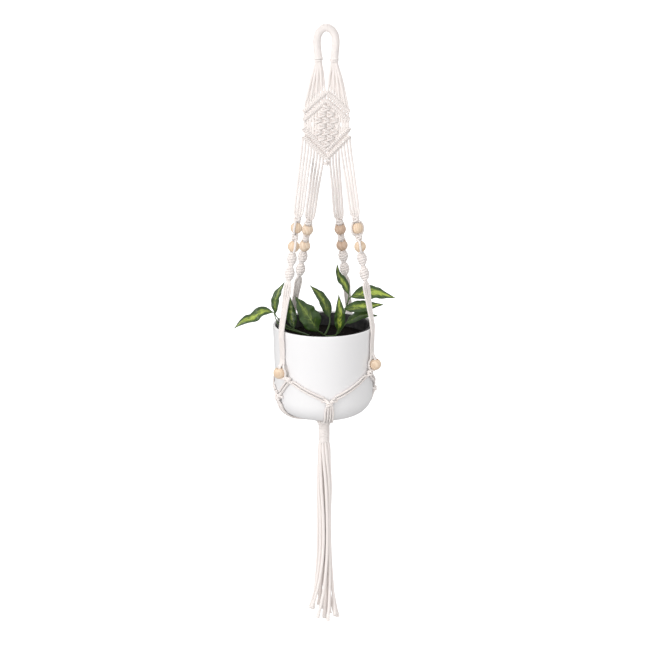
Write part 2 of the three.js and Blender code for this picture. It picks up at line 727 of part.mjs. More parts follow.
function plantStem({ crown, leaves }) {
  const start = [crown[0] + POT_X, crown[1], SOIL_Z + SOIL_CROWN + GAP + ROOT_RADIUS];
  const root = new THREE.SphereGeometry(ROOT_RADIUS, 8, 5);
  root.rotateX(Math.PI / 2);
  root.translate(...start);
  const parts = [root];
  for (const leaf of leaves) {
    const into = leaf.rib[0].map((value, axis) => THREE.MathUtils.lerp(value, leaf.rib[1][axis], 0.12));
    parts.push(tube([start, ...leaf.stalk, into], 4, STALK_RADIUS, 5));
    parts.push(leafBlade(leaf));
  }
  return joined(parts);
}

for (const [name, plant] of Object.entries(PLANT)) addPiece(name, plantStem(plant), LEAF);

export default planter;
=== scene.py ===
# %% [markdown]
# A hanging macrame planter, finished in Blender round its CAD frame. The frame says where every bead, knot,
# cord bundle and pot wall is, in metres, +Z up, front towards -Y. Everything here is built in those same
# places: the plain cord bundles are replaced by real twisted cords that pass over and under each other in
# knots.

# %% Load the frame
import json
import math

import bmesh
import bpy
import numpy as np
from mathutils import Matrix, Vector, noise


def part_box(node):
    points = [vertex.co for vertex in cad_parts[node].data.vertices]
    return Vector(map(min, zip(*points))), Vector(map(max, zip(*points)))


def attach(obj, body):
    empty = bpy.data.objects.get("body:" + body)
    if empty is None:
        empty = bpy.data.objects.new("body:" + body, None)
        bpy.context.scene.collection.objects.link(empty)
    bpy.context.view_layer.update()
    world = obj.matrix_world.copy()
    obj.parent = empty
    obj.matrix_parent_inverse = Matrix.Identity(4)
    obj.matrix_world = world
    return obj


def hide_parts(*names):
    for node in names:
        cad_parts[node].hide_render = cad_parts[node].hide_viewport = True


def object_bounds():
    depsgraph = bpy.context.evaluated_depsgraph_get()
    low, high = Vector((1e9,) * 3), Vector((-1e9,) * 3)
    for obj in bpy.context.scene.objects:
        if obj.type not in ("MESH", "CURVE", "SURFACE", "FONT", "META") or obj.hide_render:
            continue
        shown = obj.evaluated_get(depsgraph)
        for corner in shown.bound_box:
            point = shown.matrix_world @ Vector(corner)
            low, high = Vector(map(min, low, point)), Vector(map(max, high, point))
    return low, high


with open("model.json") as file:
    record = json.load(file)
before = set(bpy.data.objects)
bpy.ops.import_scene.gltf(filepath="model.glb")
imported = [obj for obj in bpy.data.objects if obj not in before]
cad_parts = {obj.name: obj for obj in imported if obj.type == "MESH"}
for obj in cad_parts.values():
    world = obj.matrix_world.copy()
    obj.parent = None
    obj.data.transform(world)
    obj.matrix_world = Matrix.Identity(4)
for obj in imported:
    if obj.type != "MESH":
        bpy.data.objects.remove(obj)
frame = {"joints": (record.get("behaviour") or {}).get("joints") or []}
CAD_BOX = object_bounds()
MM = 0.001
joints = {joint["name"]: joint for joint in frame["joints"]}
print("frame box", CAD_BOX)

# %% [markdown]
# The camera stands nearly three metres off and looks down at fifteen degrees, as a person looks at a
# planter that hangs a little below eye height. A long lens keeps the cords straight.

# %% Camera
CAMERA_PLACE = (0.0003, -2.895, 0.2895)
CAMERA_PITCH = 15.3  # degrees down
CAMERA_LENS = 96.16
camera_data = bpy.data.cameras.new("camera")
camera_data.lens = CAMERA_LENS
camera_data.sensor_width = 36
camera_data.clip_end = 200
camera = bpy.data.objects.new("camera", camera_data)
camera.location = CAMERA_PLACE
camera.rotation_euler = (math.radians(90 - CAMERA_PITCH), 0, 0)
bpy.context.collection.objects.link(camera)
bpy.context.scene.camera = camera
print("camera at", tuple(camera.location))

# %% [markdown]
# Materials and Geometry Nodes trees are both graphs of nodes, so a few helpers build either kind. Each
# takes plain values or the sockets of other nodes, and gives back the socket that carries its result.

# %% Node helpers
def socketed(tree, name, direction, kind, value=None):
    socket = tree.interface.new_socket(name=name, in_out=direction, socket_type=kind)
    if value is not None:
        socket.default_value = value
    return socket


def add_node(tree, kind, settings=None, inputs=None):
    node = tree.nodes.new(kind)
    for key, value in (settings or {}).items():
        setattr(node, key, value)
    for key, value in (inputs or {}).items():
        if isinstance(value, bpy.types.NodeSocket):
            tree.links.new(value, node.inputs[key])
        else:
            node.inputs[key].default_value = value
    return node


def math_node(tree, operation, a, b=0.0, c=0.0):
    node = tree.nodes.new("ShaderNodeMath")
    node.operation = operation
    for socket, value in zip(node.inputs, (a, b, c)):
        if isinstance(value, bpy.types.NodeSocket):
            tree.links.new(value, socket)
        else:
            socket.default_value = value
    return node.outputs[0]


def mixed(tree, factor, a, b):
    node = tree.nodes.new("ShaderNodeMix")
    node.data_type = "RGBA"
    for name, value in (("Factor", factor), ("A", a), ("B", b)):
        socket = next(s for s in node.inputs if s.name == name and s.enabled)
        if isinstance(value, bpy.types.NodeSocket):
            tree.links.new(value, socket)
        else:
            socket.default_value = value
    return next(s for s in node.outputs if s.enabled)


def spread(tree, value, low, high, to_low=0.0, to_high=1.0):
    ends = {"From Min": low, "From Max": high, "To Min": to_low, "To Max": to_high}
    return add_node(tree, "ShaderNodeMapRange", None, {"Value": value, **ends}).outputs["Result"]


def noise_at(tree, vector, scale, detail=2.0, rough=0.5):
    values = {"Vector": vector, "Scale": scale, "Detail": detail, "Roughness": rough}
    return add_node(tree, "ShaderNodeTexNoise", None, values).outputs["Fac"]


def attribute(tree, name):
    return add_node(tree, "ShaderNodeAttribute", {"attribute_name": name}).outputs["Fac"]


def object_place(tree):
    return tree.nodes.new("ShaderNodeTexCoord").outputs["Object"]


def new_material(name):
    material = bpy.data.materials.new(name)
    material.use_nodes = True
    tree = material.node_tree
    shader = tree.nodes["Principled BSDF"]
    return material, tree, shader


def add_relief(tree, shader, strength, distance, height):
    values = {"Strength": strength, "Distance": distance, "Height": height}
    relief = add_node(tree, "ShaderNodeBump", None, values)
    tree.links.new(relief.outputs["Normal"], shader.inputs["Normal"])


print("node helpers ready")

# %% [markdown]
# Cotton is white plant fibre spun into plies. From far off it reads as a warm off-white with a soft, wide
# sheen. The grooves between the plies are painted slightly darker and warmer, as painted shade. One shader
# node group holds the fibre detail and this painted groove shade, so that the tight wrappings and the loose
# tassel share it with their own values. Its crest input says how high a spot lies on its ply, from 0 in a
# groove to 1 on the crown; the colour runs from the painted shade in the groove to plain cotton on the crown.

# %% Cotton fibre group
COTTON_LIGHT = (0.93, 0.875, 0.85, 1)
# Painted shade: these groove colours darken the cords between their plies, and the wrappings more faintly.
COTTON_PAINTED_GROOVE_SHADE = (0.84, 0.76, 0.71, 1)
WRAPPING_PAINTED_GROOVE_SHADE = (0.88, 0.815, 0.785, 1)
COTTON_AGED = (0.93, 0.87, 0.83, 1)
FIBRE_SCALE = 1400.0
PATCH_SCALE = 60.0


def cotton_group():
    tree = bpy.data.node_groups.new("cotton_fibre", "ShaderNodeTree")
    socketed(tree, "Light", "INPUT", "NodeSocketColor", COTTON_LIGHT)
    socketed(tree, "Painted groove shade", "INPUT", "NodeSocketColor", COTTON_PAINTED_GROOVE_SHADE)
    socketed(tree, "Crest", "INPUT", "NodeSocketFloat", 1.0)
    socketed(tree, "Fibre scale", "INPUT", "NodeSocketFloat", FIBRE_SCALE)
    socketed(tree, "Color", "OUTPUT", "NodeSocketColor")
    socketed(tree, "Roughness", "OUTPUT", "NodeSocketFloat")
    socketed(tree, "Height", "OUTPUT", "NodeSocketFloat")
    given = tree.nodes.new("NodeGroupInput")
    place = object_place(tree)
    fine = noise_at(tree, place, given.outputs["Fibre scale"], 3.0, 0.6)
    patch = noise_at(tree, place, PATCH_SCALE, 2.0)
    # Painted shade: the lower the crest, the nearer the colour comes to the painted groove shade.
    crest = spread(tree, given.outputs["Crest"], 0.0, 0.75)
    shade = math_node(tree, "MULTIPLY_ADD", fine, 0.35, math_node(tree, "MULTIPLY", crest, 0.85))
    shade = math_node(tree, "MINIMUM", shade, 1.0)
    colour = mixed(tree, shade, given.outputs["Painted groove shade"], given.outputs["Light"])
    aged = mixed(tree, spread(tree, patch, 0.35, 0.75, 0.0, 0.16), colour, COTTON_AGED)
    out = tree.nodes.new("NodeGroupOutput")
    tree.links.new(aged, out.inputs["Color"])
    tree.links.new(spread(tree, fine, 0.3, 0.7, 0.82, 0.98), out.inputs["Roughness"])
    tree.links.new(math_node(tree, "MULTIPLY_ADD", fine, 0.6, math_node(tree, "MULTIPLY", crest, 0.4)),
                   out.inputs["Height"])
    return tree


COTTON_FIBRE = cotton_group()


def cotton_material(name, painted_groove_shade, bump):
    material, tree, shader = new_material(name)
    # Painted shade: the crest attribute darkens the colour towards the grooves between the plies.
    values = {"Light": COTTON_LIGHT, "Painted groove shade": painted_groove_shade, "Crest": attribute(tree, "crest"),
              "Fibre scale": FIBRE_SCALE}
    fibre = add_node(tree, "ShaderNodeGroup", {"node_tree": COTTON_FIBRE}, values)
    tree.links.new(fibre.outputs["Color"], shader.inputs["Base Color"])
    tree.links.new(fibre.outputs["Roughness"], shader.inputs["Roughness"])
    add_relief(tree, shader, bump, 0.4 * MM, fibre.outputs["Height"])
    shader.inputs["Specular IOR Level"].default_value = 0.2
    shader.inputs["Sheen Weight"].default_value = 0.25
    shader.inputs["Sheen Roughness"].default_value = 0.6
    return material


cotton = cotton_material("cotton_cord", COTTON_PAINTED_GROOVE_SHADE, 0.35)
cotton_wrap = cotton_material("cotton_wrapping", WRAPPING_PAINTED_GROOVE_SHADE, 0.15)
print("materials", [m.name for m in bpy.data.materials])

# %% [markdown]
# A cord is laid up from three plies twisted together. Geometry Nodes make it from a drawn line: the line is
# resampled in even steps, tilted a little more at every step, and swept with a three-lobed section. The
# tilt turns the lobes into the helix of a real lay, and every point keeps a crest value that the cotton
# material reads.

# %% Twisted cord tree
def geometry_tree(name, sizes):
    tree = bpy.data.node_groups.new(name, "GeometryNodeTree")
    socketed(tree, "Geometry", "INPUT", "NodeSocketGeometry")
    for label, value in sizes.items():
        kind = "NodeSocketInt" if isinstance(value, int) else "NodeSocketFloat"
        socketed(tree, label, "INPUT", kind, value)
    socketed(tree, "Material", "INPUT", "NodeSocketMaterial")
    socketed(tree, "Geometry", "OUTPUT", "NodeSocketGeometry")
    return tree, tree.nodes.new("NodeGroupInput")


def close_tree(tree, given, geometry):
    smooth = add_node(tree, "GeometryNodeSetShadeSmooth", None, {"Geometry": geometry}).outputs["Geometry"]
    real = add_node(tree, "GeometryNodeRealizeInstances", None, {"Geometry": smooth}).outputs["Geometry"]
    done = add_node(tree, "GeometryNodeSetMaterial", None,
                    {"Geometry": real, "Material": given.outputs["Material"]}).outputs["Geometry"]
    tree.links.new(done, tree.nodes.new("NodeGroupOutput").inputs["Geometry"])
    return tree


CORD_R = 2 * MM
CORD_SIZES = {"Step": 1.3 * MM, "Radius": CORD_R, "Lay": 10 * MM, "Ply depth": 0.14, "Plies": 3, "Sides": 12}


def twisted_cord_tree():
    tree, given = geometry_tree("twisted_cord", CORD_SIZES)
    line = add_node(tree, "GeometryNodeResampleCurve", {"mode": "LENGTH"},
                    {"Curve": given.outputs["Geometry"], "Length": given.outputs["Step"]}).outputs["Curve"]
    along = tree.nodes.new("GeometryNodeSplineParameter").outputs["Length"]
    turn = math_node(tree, "DIVIDE", math_node(tree, "MULTIPLY", along, 2 * math.pi), given.outputs["Lay"])
    laid = add_node(tree, "GeometryNodeSetCurveTilt", None, {"Curve": line, "Tilt": turn}).outputs["Curve"]
    sizes = {"Resolution": given.outputs["Sides"], "Radius": given.outputs["Radius"]}
    circle = add_node(tree, "GeometryNodeCurvePrimitiveCircle", {"mode": "RADIUS"}, sizes).outputs["Curve"]
    place = tree.nodes.new("GeometryNodeInputPosition").outputs["Position"]
    parts = add_node(tree, "ShaderNodeSeparateXYZ", None, {"Vector": place})
    angle = math_node(tree, "ARCTAN2", parts.outputs["Y"], parts.outputs["X"])
    lobe = math_node(tree, "COSINE", math_node(tree, "MULTIPLY", angle, given.outputs["Plies"]))
    crest = math_node(tree, "MULTIPLY_ADD", lobe, 0.5, 0.5)
    sunk = math_node(tree, "MULTIPLY", math_node(tree, "SUBTRACT", 1.0, crest), given.outputs["Ply depth"])
    size = math_node(tree, "SUBTRACT", 1.0, sunk)
    kept = add_node(tree, "GeometryNodeStoreNamedAttribute", {"data_type": "FLOAT", "domain": "POINT"},
                    {"Geometry": circle, "Name": "crest", "Value": crest}).outputs["Geometry"]
    scaled = add_node(tree, "ShaderNodeVectorMath", {"operation": "SCALE"}, {0: place, "Scale": size})
    section = add_node(tree, "GeometryNodeSetPosition", None,
                       {"Geometry": kept, "Position": scaled.outputs["Vector"]}).outputs["Geometry"]
    own_radius = tree.nodes.new("GeometryNodeInputRadius").outputs["Radius"]
    swept = add_node(tree, "GeometryNodeCurveToMesh", None,
                     {"Curve": laid, "Profile Curve": section, "Scale": own_radius, "Fill Caps": True})
    return close_tree(tree, given, swept.outputs["Mesh"])


TWISTED_CORD = twisted_cord_tree()


def set_inputs(modifier, tree, values):
    for item in tree.interface.items_tree:
        if item.item_type == "SOCKET" and item.in_out == "INPUT" and item.name in values:
            modifier[item.identifier] = values[item.name]


def baked(source, name):
    graph = bpy.context.evaluated_depsgraph_get()
    mesh = bpy.data.meshes.new_from_object(source.evaluated_get(graph), preserve_all_data_layers=True,
                                           depsgraph=graph)
    mesh.name = name
    piece = bpy.data.objects.new(name, mesh)
    bpy.context.collection.objects.link(piece)
    data = source.data
    bpy.data.objects.remove(source)
    (bpy.data.curves if isinstance(data, bpy.types.Curve) else bpy.data.meshes).remove(data)
    return piece


def cords(name, runs, material, body="hanger", **sizes):
    """One mesh of twisted cords. A run is (points in metres, thickness as a share of the tree's radius)."""
    curve = bpy.data.curves.new(name + "_lines", "CURVE")
    curve.dimensions = "3D"
    for points, thickness in runs:
        spline = curve.splines.new("POLY")
        spline.points.add(len(points) - 1)
        widths = np.broadcast_to(np.asarray(thickness, float), (len(points),))
        flat = np.column_stack([np.asarray(points, float), np.ones(len(points))]).ravel()
        spline.points.foreach_set("co", flat)
        spline.points.foreach_set("radius", widths.astype(float).copy())
    source = bpy.data.objects.new(name + "_lines", curve)
    bpy.context.collection.objects.link(source)
    modifier = source.modifiers.new("cord", "NODES")
    modifier.node_group = TWISTED_CORD
    set_inputs(modifier, TWISTED_CORD, {**CORD_SIZES, **sizes, "Material": material})
    piece = baked(source, name)
    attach(piece, body)
    print(name, len(runs), "runs", len(piece.data.polygons), "faces")
    return piece

# %% [markdown]
# A cord's route is a short list of given points. A centripetal Catmull-Rom curve goes through all
# of them without the loops and overshoots that other splines make where points lie close together, as in a
# knot.

# %% Smooth line through chosen points
def smooth_line(points, step=1.2 * MM):
    """Centripetal Catmull-Rom line through the points, sampled about every step."""
    knots = [Vector(p) for p in points]
    knots = [knots[0] * 2 - knots[1]] + knots + [knots[-1] * 2 - knots[-2]]
    line = []
    for p0, p1, p2, p3 in zip(knots, knots[1:], knots[2:], knots[3:]):
        t1 = max((p1 - p0).length, 1e-9) ** 0.5
        t2 = t1 + max((p2 - p1).length, 1e-9) ** 0.5
        t3 = t2 + max((p3 - p2).length, 1e-9) ** 0.5
        count = max(2, math.ceil((p2 - p1).length / step))
        for i in range(count):
            t = t1 + (t2 - t1) * i / count
            a1 = p0 * ((t1 - t) / t1) + p1 * (t / t1)
            a2 = p1 * ((t2 - t) / (t2 - t1)) + p2 * ((t - t1) / (t2 - t1))
            a3 = p2 * ((t3 - t) / (t3 - t2)) + p3 * ((t - t2) / (t3 - t2))
            b1 = a1 * ((t2 - t) / t2) + a2 * (t / t2)
            b2 = a2 * ((t3 - t) / (t3 - t1)) + a3 * ((t - t1) / (t3 - t1))
            line.append(b1 * ((t2 - t) / (t2 - t1)) + b2 * ((t - t1) / (t2 - t1)))
    line.append(Vector(points[-1]))
    return [tuple(p) for p in line]


print("a straight line of 12 mm has", len(smooth_line([(0, 0, 0), (0, 0, 12 * MM)])), "points")

# %% [markdown]
# A wrapping is a cord wound turn against turn. Its line is a helix round another line, kept square to that
# line wherever it bends. A little random drift in the turns takes away the look of a machine.

# %% Line lengths and coils
COIL_STEPS = 20  # points in one turn


def line_length(points):
    return sum((Vector(a) - Vector(b)).length for a, b in zip(points, points[1:]))


def coil_round(line, radius, pitch, jitter=0.0, seed=3):
    """A helix of the given radius and pitch round a line of points, begun at the back."""
    rng = np.random.default_rng(seed)
    spots = [Vector(p) for p in line]
    total = line_length(line)
    turns = total / pitch
    count = int(turns * COIL_STEPS)
    stops = np.cumsum([0] + [(b - a).length for a, b in zip(spots, spots[1:])])
    wobble = rng.normal(0, jitter, int(turns) + 3)
    across = Vector((0, 1, 0))
    points = []
    for i in range(count + 1):
        t = total * i / count
        k = min(int(np.searchsorted(stops, t, side="right")) - 1, len(spots) - 2)  # the stretch that t is on
        share = (t - stops[k]) / (stops[k + 1] - stops[k])
        centre = spots[k].lerp(spots[k + 1], share)
        ahead = (spots[k + 1] - spots[k]).normalized()
        across = (across - ahead * across.dot(ahead)).normalized()
        other = ahead.cross(across)
        turn = t / pitch
        shift = float(np.interp(turn, range(len(wobble)), wobble))
        angle = 2 * math.pi * turn
        points.append(centre + ahead * shift + (across * math.cos(angle) + other * math.sin(angle)) * radius)
    return [tuple(p) for p in points]


one_turn = coil_round([(0, 0, 0), (0, 0, MM)], 10 * MM, MM)
print("one turn of 10 mm radius takes", round(line_length(one_turn), 4), "m of cord")

# %% [markdown]
# The tassel is sixteen free strand ends. Each is a cord of its own that hangs from the gathering, a little
# longer or shorter than its neighbours, and swings out over the last few centimetres where nothing holds
# it.

# %% Tassel
gather_low, gather_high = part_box("gather_wrap")
GATHER_X = (gather_low[0] + gather_high[0]) / 2
GATHER_R = (gather_high[0] - gather_low[0]) / 2
TASSEL_LENGTH = 322 * MM
TASSEL_TWIST = 50  # degrees by which the strands are turned round half way down
TASSEL_DRIFT = 5  # degrees by which a strand strays from its place
STRAND_R = 3.0 * MM
STRAND_STEP = 2 * MM
TUCK = 2.5 * MM  # how far a strand's start is tucked up into the gathering
TASSEL_RINGS = [  # strands in a ring, its radius in mm, azimuth of its first strand, spread at the ends in mm
    (1, 0.0, 0, 0.0),
    (5, 4.35, 0, 6.0),
    (10, 8.1, 18, 17.0),
]
TASSEL_SHARES = (0.02, 0.08, 0.25, 0.45, 0.65, 0.82, 0.93, 1)


def outward(azimuth):
    """The level direction away from the middle; 0 degrees is the front and 90 the right."""
    return Vector((math.sin(math.radians(azimuth)), -math.cos(math.radians(azimuth)), 0))


def tassel_routes():
    rng = np.random.default_rng(5)
    routes = []
    for count, radius, turn, flare in TASSEL_RINGS:
        for i in range(count):
            azimuth = turn + 360 * i / count
            side = outward(azimuth)
            length = TASSEL_LENGTH + (8 * math.cos(math.radians(azimuth * 3)) + 9 * side.x) * MM
            route = [outward(azimuth) * (radius * 0.86) * MM + Vector((GATHER_X, 0, gather_low[2] + TUCK))]
            drift = rng.normal(0, TASSEL_DRIFT, 3)
            for share in TASSEL_SHARES:
                stray = float(np.interp(share, (0, 0.3, 0.6, 0.9), (0, *drift)))
                side = outward(azimuth + stray + TASSEL_TWIST * math.sin(math.pi * share))
                sway = 2.2 * math.sin(math.pi * min(share * 2, 1)) * radius / 8
                reach = radius + flare * (0.2 * share + 0.8 * share ** 6) + sway
                point = side * reach * MM
                route.append((point.x + GATHER_X, point.y, gather_low[2] - 0.3 * MM - length * share))
            routes.append(route)
    return routes


def tassel_thickness(points):
    """Squeezed by the gathering at the start, and frayed open at the cut end."""
    walked = np.arange(points) * STRAND_STEP / MM
    return np.interp(walked[::-1], (0, 3, 16), (1.42, 1.32, 1.0)) * np.interp(walked, (0, 14), (0.74, 1.0))


for number, route in enumerate(tassel_routes(), 1):
    node = f"tassel_strand_{number:02d}"
    line = smooth_line(route, STRAND_STEP)
    strand = cords(node + "_cord", [(line, tassel_thickness(len(line)))], cotton, Radius=STRAND_R)
    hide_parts(node)

# %% [markdown]
# A leg's line is read from the frame: the joint of its top bead gives a point and the way down, and its
# lower bead gives the azimuth at which it lies on the pot. From that line a point is given by how far down
# it is, how far to the side (along the tangent of the pot) and how far out.

# %% Leg frames
pot_low, pot_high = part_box("pot")
POT_X = (pot_low[0] + pot_high[0]) / 2
RIM_R = 88 * MM
RIM_Z = pot_high[2]
POT_BASE_Z = pot_low[2]
FOOT_R = 84.4 * MM
FILLET = 35 * MM
FILLET_Z = POT_BASE_Z + FILLET
LEGS = ("front_left", "front_right", "rear_right", "rear_left")
PASSES = {  # azimuths on which the two working cords pass the upper, middle and lower bead
    "front_left": ((-17, 163), (11, 191), (60, 175)),
    "front_right": ((-55, 125), (2, 182), (-68, 185)),
    "rear_right": ((150, -150), (155, -155), (40, 220)),
    "rear_left": ((150, -150), (155, -155), (-40, 140)),
}
ROW_KNOTS = {  # azimuth and height of the knots of the lower row
    "front": (6, -614 * MM),
    "right": (104, -619 * MM),
    "back": (186, -614 * MM),
    "left": (-63, -617 * MM),
}
BEAD_PITCH = 31.5 * MM  # between the two upper beads of a leg
TURN_START = 10 * MM  # how far above the top bead the four cords begin to turn


def along_tangent(azimuth):
    """The level direction along the pot's side at an azimuth in degrees."""
    return Vector((math.cos(math.radians(azimuth)), math.sin(math.radians(azimuth)), 0))


def wall_radius(z):
    share = min(max((RIM_Z - z) / (RIM_Z - FILLET_Z), 0), 1)
    return RIM_R + (FOOT_R - RIM_R) * share


def around_pot(radius, azimuth, z):
    side = outward(azimuth)
    return Vector((POT_X + side.x * radius, side.y * radius, z))


class Leg:
    """The line of one leg: straight from the panel to the rim, then down the pot's side to its lower bead."""

    def __init__(self, name):
        upper = joints[f"{name}_bead_upper_spin"]
        self.name = name
        self.bead = Vector(upper["pos_m"])
        self.down = Vector(upper["axis"])
        self.low_bead = Vector(joints[f"{name}_bead_lower_spin"]["pos_m"])
        self.azimuth = math.degrees(math.atan2(self.low_bead.x - POT_X, -self.low_bead.y))
        self.tangent = along_tangent(self.azimuth)
        self.first_facing = 0 if abs(self.azimuth) < 90 else math.copysign(180, self.azimuth)
        self.bend_s = (RIM_Z - self.bead.z) / self.down.z

    def facing(self, s):
        """The four cords leave the panel side by side in its plane and turn to lie flat on the pot."""
        share = min(max((s + TURN_START) / (self.bend_s + TURN_START), 0), 1)
        azimuth = self.first_facing + (self.azimuth - self.first_facing) * share
        tangent = along_tangent(azimuth)
        side = (tangent - self.down * tangent.dot(self.down)).normalized()
        out = self.down.cross(side)
        return side, out if out.dot(outward(azimuth)) > 0 else -out

    def at(self, s, a=0.0, b=0.0):
        side, out = self.facing(s)
        return self.bead + self.down * s + side * a + out * b

    def on_wall(self, z, a=0.0, b=0.0):
        return around_pot(wall_radius(z) + b, self.azimuth, z) + self.tangent * a


legs = {name: Leg(name) for name in LEGS}
print({name: round(leg.azimuth, 1) for name, leg in legs.items()})

# %% [markdown]
# Everything is knotted with one knot, the square knot. Two strands in the middle run straight through. The
# left strand crosses in front of them while the right one crosses behind, and then both come back, so each
# strand ends on the side it started from. In front the knot shows two bars, and at its sides the strands
# lock together. One function gives the route of each of the four roles, in the knot's own directions: side,
# out and down.

# %% Square knot
def square_knot(role, half, reach, lift, inner):
    """Route of one of four strands through a square knot: (side, out, down) from the knot's middle."""
    if role in (1, 2):
        a = inner if role == 2 else -inner
        return [(a, 0, -half), (a, 0, 0), (a, 0, half)]
    front = role == 0
    start = -reach if front else reach
    bow = lift if front else -lift
    edge = -0.1 * lift if front else 0.35 * lift
    first = (0.74, 0.26) if front else (0.66, 0.34)
    route = []
    for sign in (-1, 1):
        near, far = (start, -start) if sign < 0 else (-start, start)
        shares = first if sign < 0 else (-first[1], -first[0])
        if sign < 0:
            route.append((near * 0.92, edge, -half))
        route.append((near * 0.62, bow, -shares[0] * half))
        route.append((far * 0.62, bow, -shares[1] * half))
        route.append((far if sign < 0 else far * 0.92, edge, 0 if sign < 0 else half))
    return route


def knot_points(place, role, middle, sizes):
    """A knot's route carried to where place(down, side, out) says. Sizes: half, reach, lift, inner, in mm."""
    half, reach, lift, inner = (size * MM for size in sizes)
    return [place(middle + s, a, b) for a, b, s in square_knot(role, half, reach, lift, inner)]


print("points of each of a knot's four roles", [len(square_knot(role, 5, 6, 3.4, 2.1)) for role in range(4)])

# %% [markdown]
# The panel hangs from the loop. Two fans of strands come down from the loop's feet and are hitched over two
# slanting ridges, knotted into a diamond, and hitched over two ridges that slant back to the middle. All of
# it could be modelled as carved bars, but the light would give them away, so every strand is drawn in full.
# First come the sizes that the sixteen strands share.

# %% Panel sizes
_, upper_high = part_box("upper_chevrons")
lower_low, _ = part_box("lower_chevrons")
PANEL_HALF = upper_high[0]
UPPER_SLOPE = math.tan(math.radians(41))
LOWER_SLOPE = math.tan(math.radians(45.5))
UPPER_BAND = 28 * MM
LOWER_BAND = 26 * MM
COLUMN_PITCH = 4.8 * MM
STRANDS = 16
RIDGES = [  # (height of the ridge's middle at the centre line, rise per metre away from it)
    (upper_high[2] - UPPER_BAND * 0.25, -UPPER_SLOPE),
    (upper_high[2] - UPPER_BAND * 0.75, -UPPER_SLOPE),
    (lower_low[2] + LOWER_BAND * 0.81, LOWER_SLOPE),
    (lower_low[2] + LOWER_BAND * 0.29, LOWER_SLOPE),
]
LAST_UPPER, FIRST_LOWER, LAST_RIDGE = 1, 2, 3


def column_x(column):
    return (column - (STRANDS - 1) / 2) * COLUMN_PITCH


def ridge_z(ridge, x):
    return RIDGES[ridge][0] + RIDGES[ridge][1] * abs(x)


print("ridge heights, mm", [round(ridge_z(ridge, 0) / MM, 1) for ridge in range(len(RIDGES))])

# %% [markdown]
# In a double half hitch a strand goes over the ridge's holding cord twice, so a ridge looks like a tightly
# wound rope. The strand's line is a helix of one and a half turns that creeps along the slanting cord.

# %% Double half hitch
HITCH_R = 2.85 * MM  # from the holding cord's middle to the strand's
HITCH_THICK = 1.08
HITCH_POINTS = 13
HITCH_STEP = math.pi / 4
HITCH_MIDDLE = 1.5 * math.pi


def hitch(column, ridge):
    """A strand's double half hitch over a ridge: down in front twice, up behind once."""
    x = column_x(column)
    side = math.copysign(1, x)
    along = Vector((side, 0, RIDGES[ridge][1])).normalized()
    up = Vector((-along.z * side, 0, along.x * side))
    middle = Vector((x, 0, ridge_z(ridge, x)))
    pitch = COLUMN_PITCH / abs(along.x) / 2
    route = []
    for i in range(HITCH_POINTS):
        theta = HITCH_STEP * i
        turn = (theta - HITCH_MIDDLE) / (2 * math.pi)
        spot = middle + along * pitch * turn + up * HITCH_R * math.cos(theta)
        route.append(spot + Vector((0, -1, 0)) * HITCH_R * math.sin(theta))
    return route


print("points of a hitch", len(hitch(0, 0)))

# %% [markdown]
# The diamond between the ridges is a lattice of square knots in seven rows. The strands shift by two from
# one row to the next, so that every knot ties together halves of the two above it. This cell says which
# knots a strand takes part in, and in which of the four roles.

# %% Diamond of knots
LATTICE_ROWS = (1, 2, 3, 2, 3, 2, 1)
LATTICE_KNOT = (5.0, 6.0, 3.4, 2.1)
LATTICE_THICK = 1.22
LATTICE_PITCH_X = 13.4 * MM
LATTICE_TOP_Z = upper_high[2] - UPPER_BAND - 6 * MM
LATTICE_TIP_Z = lower_low[2] + LOWER_BAND + 6.5 * MM


def lattice_knots(column):
    """The knots of the diamond that a strand takes part in: (knot's place, role)."""
    found = []
    for row, count in enumerate(LATTICE_ROWS):
        first = STRANDS // 2 - 2 * count
        if first <= column < first + 4 * count:
            place, role = divmod(column - first, 4)
            z = LATTICE_TOP_Z + (LATTICE_TIP_Z - LATTICE_TOP_Z) * row / (len(LATTICE_ROWS) - 1)
            found.append((Vector(((place - (count - 1) / 2) * LATTICE_PITCH_X, 0, z)), role))
    return found


def panel_place(centre):
    return lambda s, a, b: Vector((centre.x + a, -b, centre.z - s))


print("knots in the diamond", sum(LATTICE_ROWS))

# %% [markdown]
# A panel strand comes out of a foot of the loop, fans out to its column, and then takes its hitches and
# knots in order. Its thickness changes on the way: it is pulled thin where a hitch is tight and swells
# where it floats.

# %% Panel strands
loop_low, loop_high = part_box("loop_wrap")
LOOP_R = (loop_high[1] - loop_low[1]) / 2
LOOP_HALF = loop_high[0] - LOOP_R
FOOT_X = 13.2 * MM
LOOP_FOOT_Z = -44 * MM
FAN_DEPTH = 2.3 * MM  # every other strand leaves the foot at the back
FAN_PITCH = 1.05 * MM
FAN_THICK = [1.15, 1.35, 1.42]
FLOAT_THICK = 1.32


